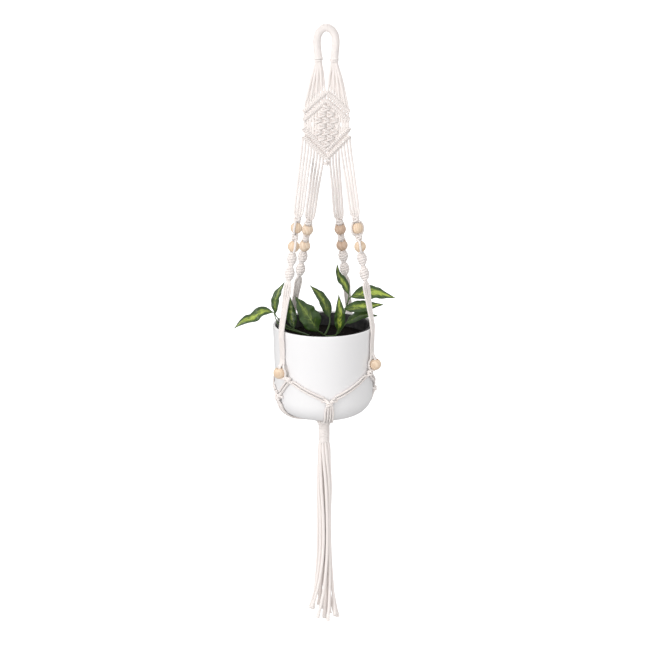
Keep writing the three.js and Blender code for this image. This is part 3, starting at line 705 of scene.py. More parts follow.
def panel_strand(column):
    x = column_x(column)
    side = math.copysign(1, x)
    from_foot = abs(x) / COLUMN_PITCH - 4  # in columns, from the middle of the fan
    deep = FAN_DEPTH if column % 2 else -FAN_DEPTH
    foot = Vector((side * (FOOT_X + from_foot * FAN_PITCH), deep, LOOP_FOOT_Z + 3 * MM))
    route = [foot, foot + Vector((0, 0, -8 * MM))]
    start = hitch(column, 0)[0]
    route.append(foot.lerp(start, 0.45) + Vector((0, deep * 0.2, 0)))
    route += hitch(column, 0) + hitch(column, LAST_UPPER)
    thick = FAN_THICK + [HITCH_THICK] * 2 * HITCH_POINTS
    knots = lattice_knots(column)
    if not knots:
        top, low = route[-1], hitch(column, FIRST_LOWER)[0]
        aside = Vector((side * 0.3 * MM, -0.8 * MM, 0))
        route += [top.lerp(low, share) + aside for share in (0.25, 0.5, 0.75)]
        thick += [FLOAT_THICK] * 3
    for middle, role in knots:
        points = knot_points(panel_place(middle), role, 0, LATTICE_KNOT)
        route += points
        thick += [LATTICE_THICK] * len(points)
    route += hitch(column, FIRST_LOWER) + hitch(column, LAST_RIDGE)
    thick += [HITCH_THICK] * 2 * HITCH_POINTS
    return route, thick


def walked_lengths(points):
    """How far along a line each of its points is."""
    places = [0.0]
    for a, b in zip(points, points[1:]):
        places.append(places[-1] + (Vector(a) - Vector(b)).length)
    return places


def even_run(route, thick):
    """A smooth line through a route, with the thickness carried along it."""
    line = smooth_line(route)
    stops = walked_lengths(route)
    places = walked_lengths(line)
    scaled = np.array(places) * stops[-1] / places[-1]
    return line, np.interp(scaled, stops, thick)


print("points in a panel strand", [len(panel_strand(column)[0]) for column in range(STRANDS // 2)])

# %% [markdown]
# Three smaller kinds of cord finish the panel: floats that run plumb beside and behind the knots, the
# holding cords inside the ridges, which turn down at the panel's edges, and the tie that closes its lowest
# tip.

# %% Floats, holding cords and tip
FIELD_HALF = 17 * MM  # beyond this a float shows beside the diamond
FLOAT_LEAN = 0.6 * MM
HOLDING_STOPS = (-1.5 * MM, 9 * MM, 18 * MM, 27 * MM)
HOLDING_THICK = 0.78
TIE_RADIUS = 2.9 * MM
TIE_PITCH = 3.2 * MM
TIE_THICK = 0.9


def floats():
    """Cords that run plumb behind the knots, and beside them, from the second ridge to the third."""
    runs = []
    for column in range(STRANDS):
        x = column_x(column)
        top = ridge_z(LAST_UPPER, x)
        low = ridge_z(FIRST_LOWER, x)
        beside = abs(x) > FIELD_HALF
        depth = -0.8 * MM if beside else -0.4 * MM
        lean = FLOAT_LEAN * (-1) ** column if beside else 0
        inset = (top - low) * 0.2
        route = [(x, 0.5 * MM, top), (x + lean, depth, top - inset), (x - lean, depth, (top + low) / 2),
                 (x + lean, depth, low + inset), (x, 0.5 * MM, low)]
        runs.append((smooth_line(route), FLOAT_THICK))
    return runs


def holding_cords():
    runs = []
    edge = PANEL_HALF - 1.0 * MM
    for ridge, (z0, slope) in enumerate(RIDGES):
        for side in (-1, 1):
            route = [(side * x, 0, z0 + slope * x) for x in HOLDING_STOPS + (edge - 2 * MM,)]
            if ridge <= LAST_UPPER:
                z_end = ridge_z(ridge, edge)
                drop = UPPER_BAND * 0.42 if ridge == 0 else (z_end - ridge_z(FIRST_LOWER, edge)) * 0.8
                route += [(side * edge, 0, z_end - 3 * MM), (side * edge, 0, z_end - drop)]
            runs.append((smooth_line(route), HOLDING_THICK))
    return runs


def tip_tie():
    """The two middle strands are tied together under the lowest ridge."""
    tip_z = lower_low[2]
    tie_line = [(0, 0, tip_z + 3 * MM), (0, 0.5 * MM, tip_z - 4 * MM)]
    return coil_round(tie_line, TIE_RADIUS, TIE_PITCH), TIE_THICK


panel_runs = [even_run(*panel_strand(column)) for column in range(STRANDS)]
panel_runs += floats() + holding_cords() + [tip_tie()]
panel = cords("panel_strands", panel_runs, cotton, Step=1.35 * MM)
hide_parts("fan_left", "fan_right", "upper_chevrons", "panel_field", "lower_chevrons")

# %% [markdown]
# Each leg takes four of the sixteen strands. From the panel they run to a knot, thread a bead, knot, thread
# a second bead, and are worked into two plump sinnets. At every bead the two middle strands go through the
# hole and the outer two bow round the bead. A sinnet is made of half knots that all have the same hand, so
# its working pair winds round the leg in a spiral.

# %% Beads and sinnets on a leg
BOW = ((-9.5, 8.9), (-5, 11.7), (0, 12.4), (5, 11.7), (9.5, 8.9))  # mm down the bead, and out from its middle
THROUGH_BEAD = 1.85 * MM  # half of the spacing of the two strands in a hole
SINNET_HALF = 11.0 * MM
SINNET_TURNS = 2.5
SINNET_STEPS = 24


def pass_bead(role, centre, down, azimuths, side):
    """The middle strands go through the bead; the outer two bow round it, each on the side nearer to it."""
    if role in (1, 2):
        a = THROUGH_BEAD if role == 2 else -THROUGH_BEAD
        return [centre + down * s * MM + side * a for s in (-9, 0, 9)]
    ordered = sorted(azimuths, key=lambda azimuth: outward(azimuth).dot(side))
    way = outward(ordered[0] if role == 0 else ordered[1])
    way = (way - down * way.dot(down)).normalized()
    return [centre + down * s * MM + way * r * MM for s, r in BOW]


def plump(leg, role, middle):
    """A spiral sinnet: the working pair winds round the middle pair and bellies out half way."""
    points = []
    worker = role in (0, 3)
    for i in range(SINNET_STEPS + 1):
        share = i / SINNET_STEPS
        belly = math.sin(math.pi * share)
        turn = math.pi * (SINNET_TURNS * 2 * share if worker else share)
        turn += math.pi if role in (0, 1) else 0
        reach = (2.3 + 4.2 * belly if worker else 1.6 + 1.6 * belly) * MM
        s = middle + SINNET_HALF * (2 * share - 1)
        points.append(leg.at(s, reach * math.cos(turn), reach * math.sin(turn)))
    return points


print("points in a sinnet", len(plump(legs["front_left"], 0, BEAD_PITCH)))

# %% [markdown]
# Below its last bead a leg forks. Two of its strands go left and two go right, in pairs, slanting down over
# the pot's side to a knot that they share with the neighbouring leg. An arm's points are laid out on the
# unrolled side of the pot, where the pair's line is straight, and wrapped back on.

# %% Arms of the basket
FORKS = {  # azimuth and height of each leg's fork
    "front_left": (-42, -578 * MM),
    "front_right": (59, -571.5 * MM),
    "rear_right": (151, -577.5 * MM),
    "rear_left": (-143, -579.5 * MM),
}
ARM_OFFSET = 2.6 * MM
ARM_SHARES = (0.14, 0.32, 0.5, 0.68, 0.86)


def turn_between(start, end):
    """Degrees from one azimuth to another, the shorter way."""
    return (end - start + 180) % 360 - 180


def arm_points(leg, target, offset):
    """From the leg's fork to a knot of the lower row, a little to one side of the pair's middle."""
    from_azimuth, from_z = FORKS[leg.name]
    turn = turn_between(from_azimuth, target[0])
    across = math.radians(turn) * FOOT_R
    fall = target[1] + 4 * MM - from_z
    length = math.hypot(across, fall)
    points = []
    for share in ARM_SHARES:
        azimuth = from_azimuth + turn * share - math.degrees(offset * fall / length / FOOT_R)
        z = from_z + fall * share + offset * across / length - math.sin(math.pi * share) * MM
        points.append(around_pot(wall_radius(z) + CORD_R + 0.8 * MM, azimuth, z))
    return points


def arm_target(leg, role):
    """The nearest knot of the lower row: to the right for the right strands, to the left for the others."""
    turns = {name: turn_between(FORKS[leg.name][0], spot[0]) for name, spot in ROW_KNOTS.items()}
    if role >= 2:
        return min((turn, name) for name, turn in turns.items() if turn > 0)[1]
    return max((turn, name) for name, turn in turns.items() if turn < 0)[1]


print({name: (arm_target(leg, 0), arm_target(leg, 3)) for name, leg in legs.items()})

# %% [markdown]
# A strand's whole route down a leg is now put together in three stretches: the leaning stretch with its
# knots, beads and sinnets, the flat stretch over the rim and down to the lower bead, and the fork with its
# arm. Each stretch has its own thickness, because slack cord is rounder and fuller than cord that is pulled
# tight.

# %% Leg routes
TOP_KNOT = -16.5 * MM  # distances down the leg from the centre of its top bead
MIDDLE_KNOT = BEAD_PITCH / 2
SINNETS = (BEAD_PITCH + 20.5 * MM, BEAD_PITCH + 46 * MM)
TOP_KNOT_SIZE = (4.6, 4.9, 3.3, 2.0)
MIDDLE_KNOT_SIZE = (3.68, 4.4, 3.1, 1.9)
FORK_KNOT_SIZE = (3.2, 4.0, 2.8, 1.8)
STRAND_PITCH = 4.3 * MM
FLAT_PITCH = 3.2 * MM
STANDOFF = 5.3 * MM  # from the pot's side to the middle of a knot
LEG_COLUMNS = {
    "front_left": (0, 1, 2, 3),
    "rear_left": (7, 6, 5, 4),
    "rear_right": (11, 10, 9, 8),
    "front_right": (12, 13, 14, 15),
}
SPREAD_THICK, TOP_KNOT_THICK, BEAD_THICK, SINNET_THICK, FLAT_THICK = 1.2, 1.04, 1.12, 1.36, 1.02


def leaning_stretch(leg, role):
    """From the panel to the end of the second sinnet."""
    start = hitch(LEG_COLUMNS[leg.name][role], LAST_RIDGE)[-1]
    route = [start, start + Vector((0, 0.5 * MM, -9 * MM))]
    thick = [HITCH_THICK, 1.1]
    top = knot_points(leg.at, role, TOP_KNOT + 1 * MM, TOP_KNOT_SIZE)
    spread_end = leg.at(TOP_KNOT - 10 * MM, (role - 1.5) * STRAND_PITCH)
    route += [route[-1].lerp(spread_end, 0.5), spread_end] + top
    thick += [SPREAD_THICK] * 2 + [TOP_KNOT_THICK] * len(top)
    upper_pass, middle_pass, _ = PASSES[leg.name]
    route += pass_bead(role, leg.bead, leg.down, upper_pass, leg.facing(0)[0])
    route += knot_points(leg.at, role, MIDDLE_KNOT, MIDDLE_KNOT_SIZE)
    route += pass_bead(role, leg.at(BEAD_PITCH), leg.down, middle_pass, leg.facing(BEAD_PITCH)[0])
    thick += [BEAD_THICK] * (len(route) - len(thick))
    for middle in SINNETS:
        route += plump(leg, role, middle)
    thick += [SINNET_THICK] * (len(route) - len(thick))
    return route, thick


def flat_stretch(leg, role):
    """Side by side with its neighbours over the rim, down the pot's side and past the lower bead."""
    a = (role - 1.5) * FLAT_PITCH
    sinnet_end = SINNETS[1] + SINNET_HALF
    join_z = leg.low_bead.z + 19 * MM
    route = [
        leg.at(sinnet_end + 8 * MM, a),
        leg.at((sinnet_end + leg.bend_s) / 2, a),
        leg.at(leg.bend_s - 9 * MM, a),
        leg.on_wall(RIM_Z - 7 * MM, a, CORD_R + 1.6 * MM),
        leg.on_wall((RIM_Z + join_z) / 2, a, CORD_R + 0.8 * MM),
        leg.on_wall(join_z, a * 0.9, CORD_R + 1.2 * MM),
    ]
    return route + pass_bead(role, leg.low_bead, Vector((0, 0, -1)), PASSES[leg.name][2], leg.tangent)


def fork_stretch(leg, role):
    """The knot under the lower bead and the arm that leaves it."""
    azimuth, fork_z = FORKS[leg.name]
    tangent = along_tangent(azimuth)

    def beside_pot(s, a, b):
        return around_pot(wall_radius(fork_z) + STANDOFF + b, azimuth, fork_z - s) + tangent * a

    offset = ARM_OFFSET if role in (0, 2) else -ARM_OFFSET
    arm = arm_points(leg, ROW_KNOTS[arm_target(leg, role)], offset)
    return knot_points(beside_pot, role, 0, FORK_KNOT_SIZE) + arm


def leg_route(leg, role):
    route, thick = leaning_stretch(leg, role)
    route += flat_stretch(leg, role) + fork_stretch(leg, role)
    thick += [FLAT_THICK] * (len(route) - len(thick))
    return route, thick


for name, leg in legs.items():
    leg_runs = [even_run(*leg_route(leg, role)) for role in range(4)]
    piece = cords(f"{name}_leg", leg_runs, cotton)
    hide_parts(f"{name}_strands", f"{name}_cords", f"{name}_fork")

# %% [markdown]
# Under the pot the arms of neighbouring legs meet in a second row of knots, and from each of them four
# cords run side by side round the pot's rounded bottom to the gathering. They leave the bottom where a taut
# line would: at the point where a line from the gathering just touches the rounding.

# %% Drops
ROW_KNOT_SIZE = (3.6, 4.6, 2.9, 1.9)
ROW_LEAD = (-13, -9.5, 9.5, 13)  # mm to the side of the knot where each strand comes in from its arm
ROW_RISE = (3.5, 8.5, 8.5, 3.5)  # and mm above it
DROP_PITCH = 4.4 * MM
DROP_THICK = 1.1
DROP_STEPS = 5


def drop_route(azimuth, row_z, role):
    tangent = along_tangent(azimuth)

    def beside_pot(s, a, b):
        return around_pot(wall_radius(row_z - s) + STANDOFF + b, azimuth, row_z - s) + tangent * a

    lead = azimuth + math.degrees(ROW_LEAD[role] * MM / FOOT_R)
    start = around_pot(FOOT_R + CORD_R + 0.7 * MM, lead, row_z + ROW_RISE[role] * MM)
    route = [start] + knot_points(beside_pot, role, 0, ROW_KNOT_SIZE)
    centre_r = FOOT_R - FILLET
    radius = FILLET + CORD_R + 0.6 * MM
    end_r = GATHER_R - 2.6 * MM
    end_z = gather_high[2]
    to_r, to_z = end_r - centre_r, end_z - FILLET_Z
    leave = math.atan2(-to_r, -to_z) + math.asin(radius / math.hypot(to_r, to_z))
    a = (role - 1.5) * DROP_PITCH
    for i in range(1, DROP_STEPS + 1):
        angle = leave * i / DROP_STEPS
        spot_r = centre_r + radius * math.cos(angle)
        route.append(around_pot(spot_r, azimuth, FILLET_Z - radius * math.sin(angle)) + tangent * a)
    route.append(around_pot(end_r + 5 * MM, azimuth, end_z + 7 * MM) + tangent * a * 0.72)
    route.append(around_pot(end_r, azimuth, end_z - 2 * MM) + tangent * a * 0.6)
    return route


for name, (azimuth, row_z) in ROW_KNOTS.items():
    drop_runs = [(smooth_line(drop_route(azimuth, row_z, role)), DROP_THICK) for role in range(4)]
    drop = cords(f"{name}_drop_cords", drop_runs, cotton)
    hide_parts(f"{name}_drop")

# %% [markdown]
# The loop is bound with a wrapping cord, turn against turn, over a core of strands that shows at its feet.
# The helix is drawn round the loop's arch, and the same cord tree makes it into cord with a finer lay. A
# short tie closes each foot.

# %% Loop wrapping
LOOP_RISE = 22 * MM  # of the arch over its straight limbs
ARCH_STEPS = 8
WRAP_LAY = 7 * MM
LOOP_WRAP_R = 1.62 * MM
LOOP_WRAP_PITCH = 2.35 * MM
FOOT_TIE_R = 6.4 * MM
FOOT_TIE_PITCH = 3.3 * MM
LOOP_CORE_THICK = 2.1


def loop_line():
    spring_z = LOOP_R - LOOP_RISE
    arch = []
    for i in range(ARCH_STEPS + 1):
        x = LOOP_HALF * math.cos(math.pi * (1 - i / ARCH_STEPS))
        arch.append((x, 0, spring_z + LOOP_RISE * math.sin(math.pi * i / ARCH_STEPS)))
    return smooth_line([(-FOOT_X, 0, LOOP_FOOT_Z)] + arch + [(FOOT_X, 0, LOOP_FOOT_Z)], 1 * MM)


wrap_runs = [(coil_round(loop_line(), LOOP_R - LOOP_WRAP_R, LOOP_WRAP_PITCH, 0.1 * MM), 1.0)]
for side, start_z in ((-1, LOOP_FOOT_Z - 0.5 * MM), (1, LOOP_FOOT_Z - 1.5 * MM)):
    tie_line = [(side * FOOT_X, 0, start_z + 3 * MM), (side * (FOOT_X - 0.4 * MM), 0, start_z - 4 * MM)]
    wrap_runs.append((coil_round(smooth_line(tie_line, 0.5 * MM), FOOT_TIE_R, FOOT_TIE_PITCH), 1.0))
loop_wrap = cords("loop_wrapping", wrap_runs, cotton_wrap, Radius=LOOP_WRAP_R, Lay=WRAP_LAY)
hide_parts("loop_wrap")
loop_core = cords("loop_core_strands", [(loop_line(), LOOP_CORE_THICK)], cotton, Lay=40 * MM)
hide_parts("loop_core")

# %% [markdown]
# Below the pot a second wrapping binds the sixteen strands into one bundle, the gathering, out of which the
# tassel hangs. It is a straight helix of slightly stouter cord, less even than the loop's.

# %% Gathering
GATHER_WRAP_R = 1.8 * MM
GATHER_WRAP_PITCH = 3.0 * MM
GATHER_CORE_THICK = 3.3
gather_axis = [(GATHER_X, 0, gather_high[2] - 1 * MM), (GATHER_X, 0, gather_low[2] + 1 * MM)]
gather_line = smooth_line(gather_axis, 1 * MM)
gather_coil = coil_round(gather_line, GATHER_R - GATHER_WRAP_R, GATHER_WRAP_PITCH, 0.12 * MM, seed=8)
gather_wrap = cords("gather_wrapping", [(gather_coil, 1.0)], cotton_wrap, Radius=GATHER_WRAP_R, Lay=WRAP_LAY)
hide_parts("gather_wrap")
core_line = smooth_line(gather_axis, 2 * MM)
gather_core = cords("gather_core_strands", [(core_line, GATHER_CORE_THICK)], cotton, Lay=60 * MM)
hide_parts("gather_core")

# %% [markdown]
# Solids of revolution are lathed from an outline of (radius, height) points. The outline is walked up the
# outside and down the inside, so a bead closes through its own hole and a pot closes over its rim. A point
# on the axis becomes a single vertex, which closes the pole with triangles.

# %% Lathe
def lathe(name, outline, material, body, segments=96, closed=False, frame_matrix=None):
    """Turn (radius, height) points about the vertical axis, then carry the shape to its place."""
    mesh = bpy.data.meshes.new(name)
    shape = bmesh.new()
    rings = []
    for radius, height in outline:
        if radius < 1e-7:
            rings.append([shape.verts.new((0, 0, height))])
            continue
        turns = (2 * math.pi * i / segments for i in range(segments))
        rings.append([shape.verts.new((radius * math.cos(t), radius * math.sin(t), height)) for t in turns])
    pairs = list(zip(rings, rings[1:])) + ([(rings[-1], rings[0])] if closed else [])
    for low, high in pairs:
        for i in range(segments):
            k = (i + 1) % segments
            if len(low) == 1:
                shape.faces.new((low[0], high[k], high[i]))
            elif len(high) == 1:
                shape.faces.new((low[i], low[k], high[0]))
            else:
                shape.faces.new((low[i], low[k], high[k], high[i]))
    bmesh.ops.recalc_face_normals(shape, faces=shape.faces)
    if frame_matrix:
        shape.transform(frame_matrix)
    for face in shape.faces:
        face.smooth = True
    shape.to_mesh(mesh)
    shape.free()
    mesh.materials.append(material)
    piece = bpy.data.objects.new(name, mesh)
    bpy.context.collection.objects.link(piece)
    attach(piece, body)
    return piece


def arc(centre_r, centre_z, radius, start, end, steps):
    """Points of an arc in the outline's plane; 0 degrees points outward and 90 up."""
    angles = (math.radians(start + (end - start) * i / steps) for i in range(steps + 1))
    return [(centre_r + radius * math.cos(t), centre_z + radius * math.sin(t)) for t in angles]


print("points in a quarter round of five steps", len(arc(0, 0, MM, 0, 90, 5)))

# %% [markdown]
# The beads are turned from pale beech. The grain runs along each bead's own hole, so the rings show as fine
# darker lines that wander, with short pores between them. Every bead gets its own shift so no two match.

# %% Bead wood
def wood_material(name, tint, shift, grain_turn):
    material, tree, shader = new_material(name)
    turned = {"Vector": object_place(tree), "Location": shift, "Scale": (1, 1, 0.25), "Rotation": grain_turn}
    moved = add_node(tree, "ShaderNodeMapping", None, turned).outputs["Vector"]
    broad = noise_at(tree, moved, 150.0, 3.0, 0.6)
    rings = add_node(tree, "ShaderNodeTexWave", {"wave_type": "BANDS", "bands_direction": "X"},
                     {"Vector": moved, "Scale": 95.0, "Distortion": 5.0, "Detail": 3.0, "Detail Scale": 1.6})
    pores = noise_at(tree, moved, 2600.0, 2.0)
    dark = tuple(c * k for c, k in zip(tint, (0.72, 0.62, 0.54))) + (1,)
    base = mixed(tree, spread(tree, rings.outputs["Fac"], 0.1, 0.9, 0.0, 0.55), tint + (1,), dark)
    base = mixed(tree, spread(tree, broad, 0.45, 0.75, 0.0, 0.35), base, dark)
    base = mixed(tree, spread(tree, pores, 0.60, 0.72, 0.0, 0.4), base, dark)
    tree.links.new(base, shader.inputs["Base Color"])
    shader.inputs["Roughness"].default_value = 0.55
    add_relief(tree, shader, 0.12, 0.3 * MM, pores)
    return material


BEAD_R = 10 * MM
HOLE_R = 4.6 * MM
BEAD_LIP = 0.35 * MM  # how far the hole's sharp edge is broken
BEAD_TINTS = {"front": (0.86, 0.69, 0.52), "rear_left": (0.86, 0.71, 0.56), "rear_right": (0.68, 0.51, 0.39)}
crown = 88 - math.degrees(math.asin(HOLE_R / BEAD_R))
ball = arc(0, 0, BEAD_R, -crown, crown, 26)
ball = [(HOLE_R, ball[0][1] + BEAD_LIP)] + ball + [(HOLE_R, ball[-1][1] - BEAD_LIP)]
for number, name in enumerate(n for n in joints if n.endswith("_spin")):
    bead_body = name.removesuffix("_spin")
    down = Vector(joints[name]["axis"])
    turn = Vector((0, 0, -1)).rotation_difference(down)
    place = Matrix.Translation(Vector(joints[name]["pos_m"])) @ turn.to_matrix().to_4x4()
    tint = next(colour for key, colour in BEAD_TINTS.items() if bead_body.startswith(key))
    shift = (0.013 * number, 0.021 * number, 0)
    wood = wood_material(f"beech_{number}", tint, shift, (0.2, 0.1 * number, number))
    bead = lathe(bead_body + "_turned", ball, wood, bead_body, 48, True, place)
    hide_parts(bead_body)
print("beads turned", number + 1)

# %% [markdown]
# The outer pot is glazed stoneware: a slightly tapering wall, a generous radius at the foot and a thin
# rounded rim. Its glaze is nearly even, so only faint clouds in the colour and the shine keep it from
# looking like plastic.

# %% Pot
GLAZE_SHADE = (0.83, 0.82, 0.825, 1)
GLAZE_LIGHT = (0.85, 0.84, 0.845, 1)


def glaze_material():
    material, tree, shader = new_material("white_glaze")
    place = object_place(tree)
    clouds = noise_at(tree, place, 14.0, 2.0)
    shine = spread(tree, noise_at(tree, place, 45.0), 0.3, 0.7, 0.34, 0.42)
    tree.links.new(mixed(tree, clouds, GLAZE_SHADE, GLAZE_LIGHT), shader.inputs["Base Color"])
    tree.links.new(shine, shader.inputs["Roughness"])
    add_relief(tree, shader, 0.05, 1 * MM, noise_at(tree, place, 30.0))
    shader.inputs["Coat Weight"].default_value = 0.15
    shader.inputs["Coat Roughness"].default_value = 0.25
    return material


POT_WALL = 4 * MM
POT_MOVE = Matrix.Translation((POT_X, 0, 0))
UNDER_RISE = 0.8 * MM  # the underside is set up a little inside the foot ring
flat_r = FOOT_R - FILLET
rim_r = POT_WALL / 2
rim_z = RIM_Z - rim_r
pot_outline = [(0, POT_BASE_Z + UNDER_RISE), (flat_r - 9 * MM, POT_BASE_Z + UNDER_RISE)]
pot_outline += [(flat_r - 8 * MM, POT_BASE_Z)]
pot_outline += arc(flat_r, FILLET_Z, FILLET, -90, 0, 20)
pot_outline += [(wall_radius(z), z) for z in np.linspace(FILLET_Z, rim_z, 12)[1:]]
pot_outline += arc(RIM_R - rim_r, rim_z, rim_r, 0, 180, 10)[1:]
pot_outline += [(wall_radius(z) - POT_WALL, z) for z in np.linspace(rim_z, FILLET_Z, 8)[1:]]
pot_outline += arc(flat_r, FILLET_Z, FILLET - POT_WALL, 0, -90, 12)[1:]
pot_outline += [(0, POT_BASE_Z + POT_WALL)]
pot = lathe("glazed_pot", pot_outline, glaze_material(), "pot", 128, False, POT_MOVE)
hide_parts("pot")
print("pot outline", len(pot_outline), "points, wall", POT_WALL, "m")

# %% [markdown]
# Inside stands the plant's own black nursery pot, blow-moulded with a rolled lip. Only its inner wall and
# lip show, so its matt, slightly dusty finish matters more than its shape.

# %% Nursery pot
PLASTIC_BLACK = (0.016, 0.016, 0.017, 1)
PLASTIC_DUST = (0.055, 0.052, 0.05, 1)


def plastic_material():
    material, tree, shader = new_material("liner_plastic")
    dust = spread(tree, noise_at(tree, object_place(tree), 120.0, 3.0), 0.4, 0.75)
    tree.links.new(mixed(tree, dust, PLASTIC_BLACK, PLASTIC_DUST), shader.inputs["Base Color"])
    shader.inputs["Roughness"].default_value = 0.5
    shader.inputs["Specular IOR Level"].default_value = 0.25
    return material


liner_low, liner_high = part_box("liner_pot")
LINER_FLOOR_POINTS = [(0, 0), (50, 0), (59, 9)]  # radius, and height over the floor, in mm
LINER_LIP_POINTS = [  # radius, and height under the lip's top, in mm: up the outside and down the inside
    (79, -8), (80.4, -7.4), (80.8, -6), (80.8, -1), (80.2, 0), (78.8, 0), (78.2, -1), (77.6, -8),
]
LINER_INSIDE_POINTS = [(57.6, 9.5), (49, 1.5), (0, 1.5)]
liner_outline = [(r * MM, liner_low[2] + h * MM) for r, h in LINER_FLOOR_POINTS]
liner_outline += [(r * MM, liner_high[2] + h * MM) for r, h in LINER_LIP_POINTS]
liner_outline += [(r * MM, liner_low[2] + h * MM) for r, h in LINER_INSIDE_POINTS]
liner = lathe("nursery_pot", liner_outline, plastic_material(), "plant_insert", 96, False, POT_MOVE)
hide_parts("liner_pot")
print("nursery pot", [round(size, 4) for size in liner.dimensions])

# %% [markdown]
# The nursery pot is filled with compost, heaped a little in the middle. Its lumps move the surface up and
# down, and the fine crumbs are left to the material's relief.

# %% Compost
SOIL_DARK = (0.0015, 0.0012, 0.001, 1)
SOIL_LIGHT = (0.012, 0.008, 0.006, 1)


def soil_material():
    material, tree, shader = new_material("potting_soil")
    grain = noise_at(tree, object_place(tree), 500.0, 5.0, 0.7)
    crumbs = spread(tree, grain, 0.35, 0.7)
    tree.links.new(mixed(tree, crumbs, SOIL_DARK, SOIL_LIGHT), shader.inputs["Base Color"])
    shader.inputs["Roughness"].default_value = 1.0
    shader.inputs["Specular IOR Level"].default_value = 0.1
    add_relief(tree, shader, 0.9, 2 * MM, grain)
    return material


soil_low, soil_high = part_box("soil")
SOIL_R = (soil_high[0] - soil_low[0]) / 2
SOIL_TOP = soil_high[2]
SOIL_CROWN = 2 * MM
SOIL_EDGE = SOIL_TOP - SOIL_CROWN
SOIL_FOOT_R = 56 * MM
soil_outline = [(0, soil_low[2]), (SOIL_FOOT_R, soil_low[2]), (SOIL_R - 0.4 * MM, SOIL_EDGE)]
soil_outline += [(SOIL_R * k, SOIL_EDGE + SOIL_CROWN * (1 - k * k)) for k in np.linspace(0.97, 0.02, 32)]
soil_outline += [(0, SOIL_TOP)]
soil = lathe("compost", soil_outline, soil_material(), "plant_insert", 96, False, POT_MOVE)
for vertex in soil.data.vertices:
    if vertex.co.z > SOIL_EDGE + 0.01 * MM:
        lump = noise.noise(vertex.co * 140) * 1.4 + noise.noise(vertex.co * 420) * 0.7
        vertex.co.z += lump * MM
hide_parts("soil")
print("compost", [round(size, 4) for size in soil.dimensions])

# %% [markdown]
# The leaves are variegated: yellow-green feathering by the midrib inside a dark green margin. The pattern
# follows the blade, so it is mixed from values that the blade carries: how far along it a spot is, how far
# across, a chance number that differs from leaf to leaf, and how pale the leaf is. The streaks slant from
# the midrib to the tip as the veins do.

# %% Leaf material
MARGIN_DARK = (0.013, 0.036, 0.006, 1)
MARGIN_LIGHT = (0.050, 0.110, 0.014, 1)
FEATHER_COLOUR = (0.40, 0.50, 0.07, 1)
RIB_COLOUR = (0.30, 0.44, 0.12, 1)
STALK_DARK = (0.02, 0.055, 0.012, 1)
STALK_LIGHT = (0.10, 0.17, 0.04, 1)
VEIN_SLANT = 0.30
LEAF_VALUES = ("along", "across", "chance", "paleness")


def leaf_noise(tree, places, scales, detail, rough=0.5):
    """Noise over the blade: each of along, across and chance is stretched by its own scale."""
    stretched = [math_node(tree, "MULTIPLY", place, scale) for place, scale in zip(places, scales)]
    spot = add_node(tree, "ShaderNodeCombineXYZ", None, dict(zip("XYZ", stretched))).outputs["Vector"]
    return noise_at(tree, spot, 1.0, detail, rough)


def leaf_material():
    material, tree, shader = new_material("leaf")
    along, across, chance, paleness = (attribute(tree, key) for key in LEAF_VALUES)
    off_rib = math_node(tree, "ABSOLUTE", across)
    vein = math_node(tree, "SUBTRACT", along, math_node(tree, "MULTIPLY", off_rib, VEIN_SLANT))
    streak = leaf_noise(tree, (vein, across, chance), (34.0, 1.6, 9.0), 4.0, 0.65)
    blotch = leaf_noise(tree, (along, across, chance), (7.0, 2.0, 5.0), 3.0)
    inside = spread(tree, off_rib, 0.05, 0.66, 1.0, 0.0)
    mottled = math_node(tree, "MULTIPLY_ADD", blotch, 1.8, -1.95)
    mottled = math_node(tree, "MULTIPLY_ADD", streak, 3.0, mottled)
    from_middle = math_node(tree, "ABSOLUTE", math_node(tree, "SUBTRACT", along, 0.5))
    ends = spread(tree, from_middle, 0.34, 0.5, 1.0, 0.2)
    pale = math_node(tree, "MULTIPLY", math_node(tree, "MULTIPLY", inside, mottled), ends)
    pale = math_node(tree, "MULTIPLY", pale, paleness)
    green = mixed(tree, blotch, MARGIN_DARK, MARGIN_LIGHT)
    marked = mixed(tree, spread(tree, pale, 0.10, 0.62), green, FEATHER_COLOUR)
    coloured = mixed(tree, spread(tree, off_rib, 0.0, 0.05, 0.6, 0.0), marked, RIB_COLOUR)
    tree.links.new(coloured, shader.inputs["Base Color"])
    shader.inputs["Roughness"].default_value = 0.38
    shader.inputs["Coat Weight"].default_value = 0.12
    add_relief(tree, shader, 0.25, 0.8 * MM, streak)
    return material


def stalk_material():
    material, tree, shader = new_material("leaf_stalk")
    clouds = noise_at(tree, object_place(tree), 90.0)
    tree.links.new(mixed(tree, clouds, STALK_DARK, STALK_LIGHT), shader.inputs["Base Color"])
    shader.inputs["Roughness"].default_value = 0.45
    return material


leaf = leaf_material()
stalk = stalk_material()
print("leaf materials", leaf.name, stalk.name)

# %% [markdown]
# A leaf is a thin blade, folded a little along a curved midrib: widest a third of the way up, drawn out to
# a point, with a slight wave along the edges. It is built as two sheets of points that meet at the edges,
# which gives it a real thickness and a closed surface.

# %% Leaf blade
LEAF_WIDTHS = (  # share of the length, and width there as a share of the greatest
    (0, 0.05), (0.06, 0.32), (0.15, 0.68), (0.26, 0.94), (0.36, 1.0), (0.5, 0.93), (0.63, 0.76),
    (0.76, 0.5), (0.87, 0.26), (0.95, 0.1), (1.0, 0.012),
)
BLADE_THICK = 0.7 * MM
BLADE_STEP = 2.2 * MM
ACROSS_STEPS = 12
RIPPLE = 0.42


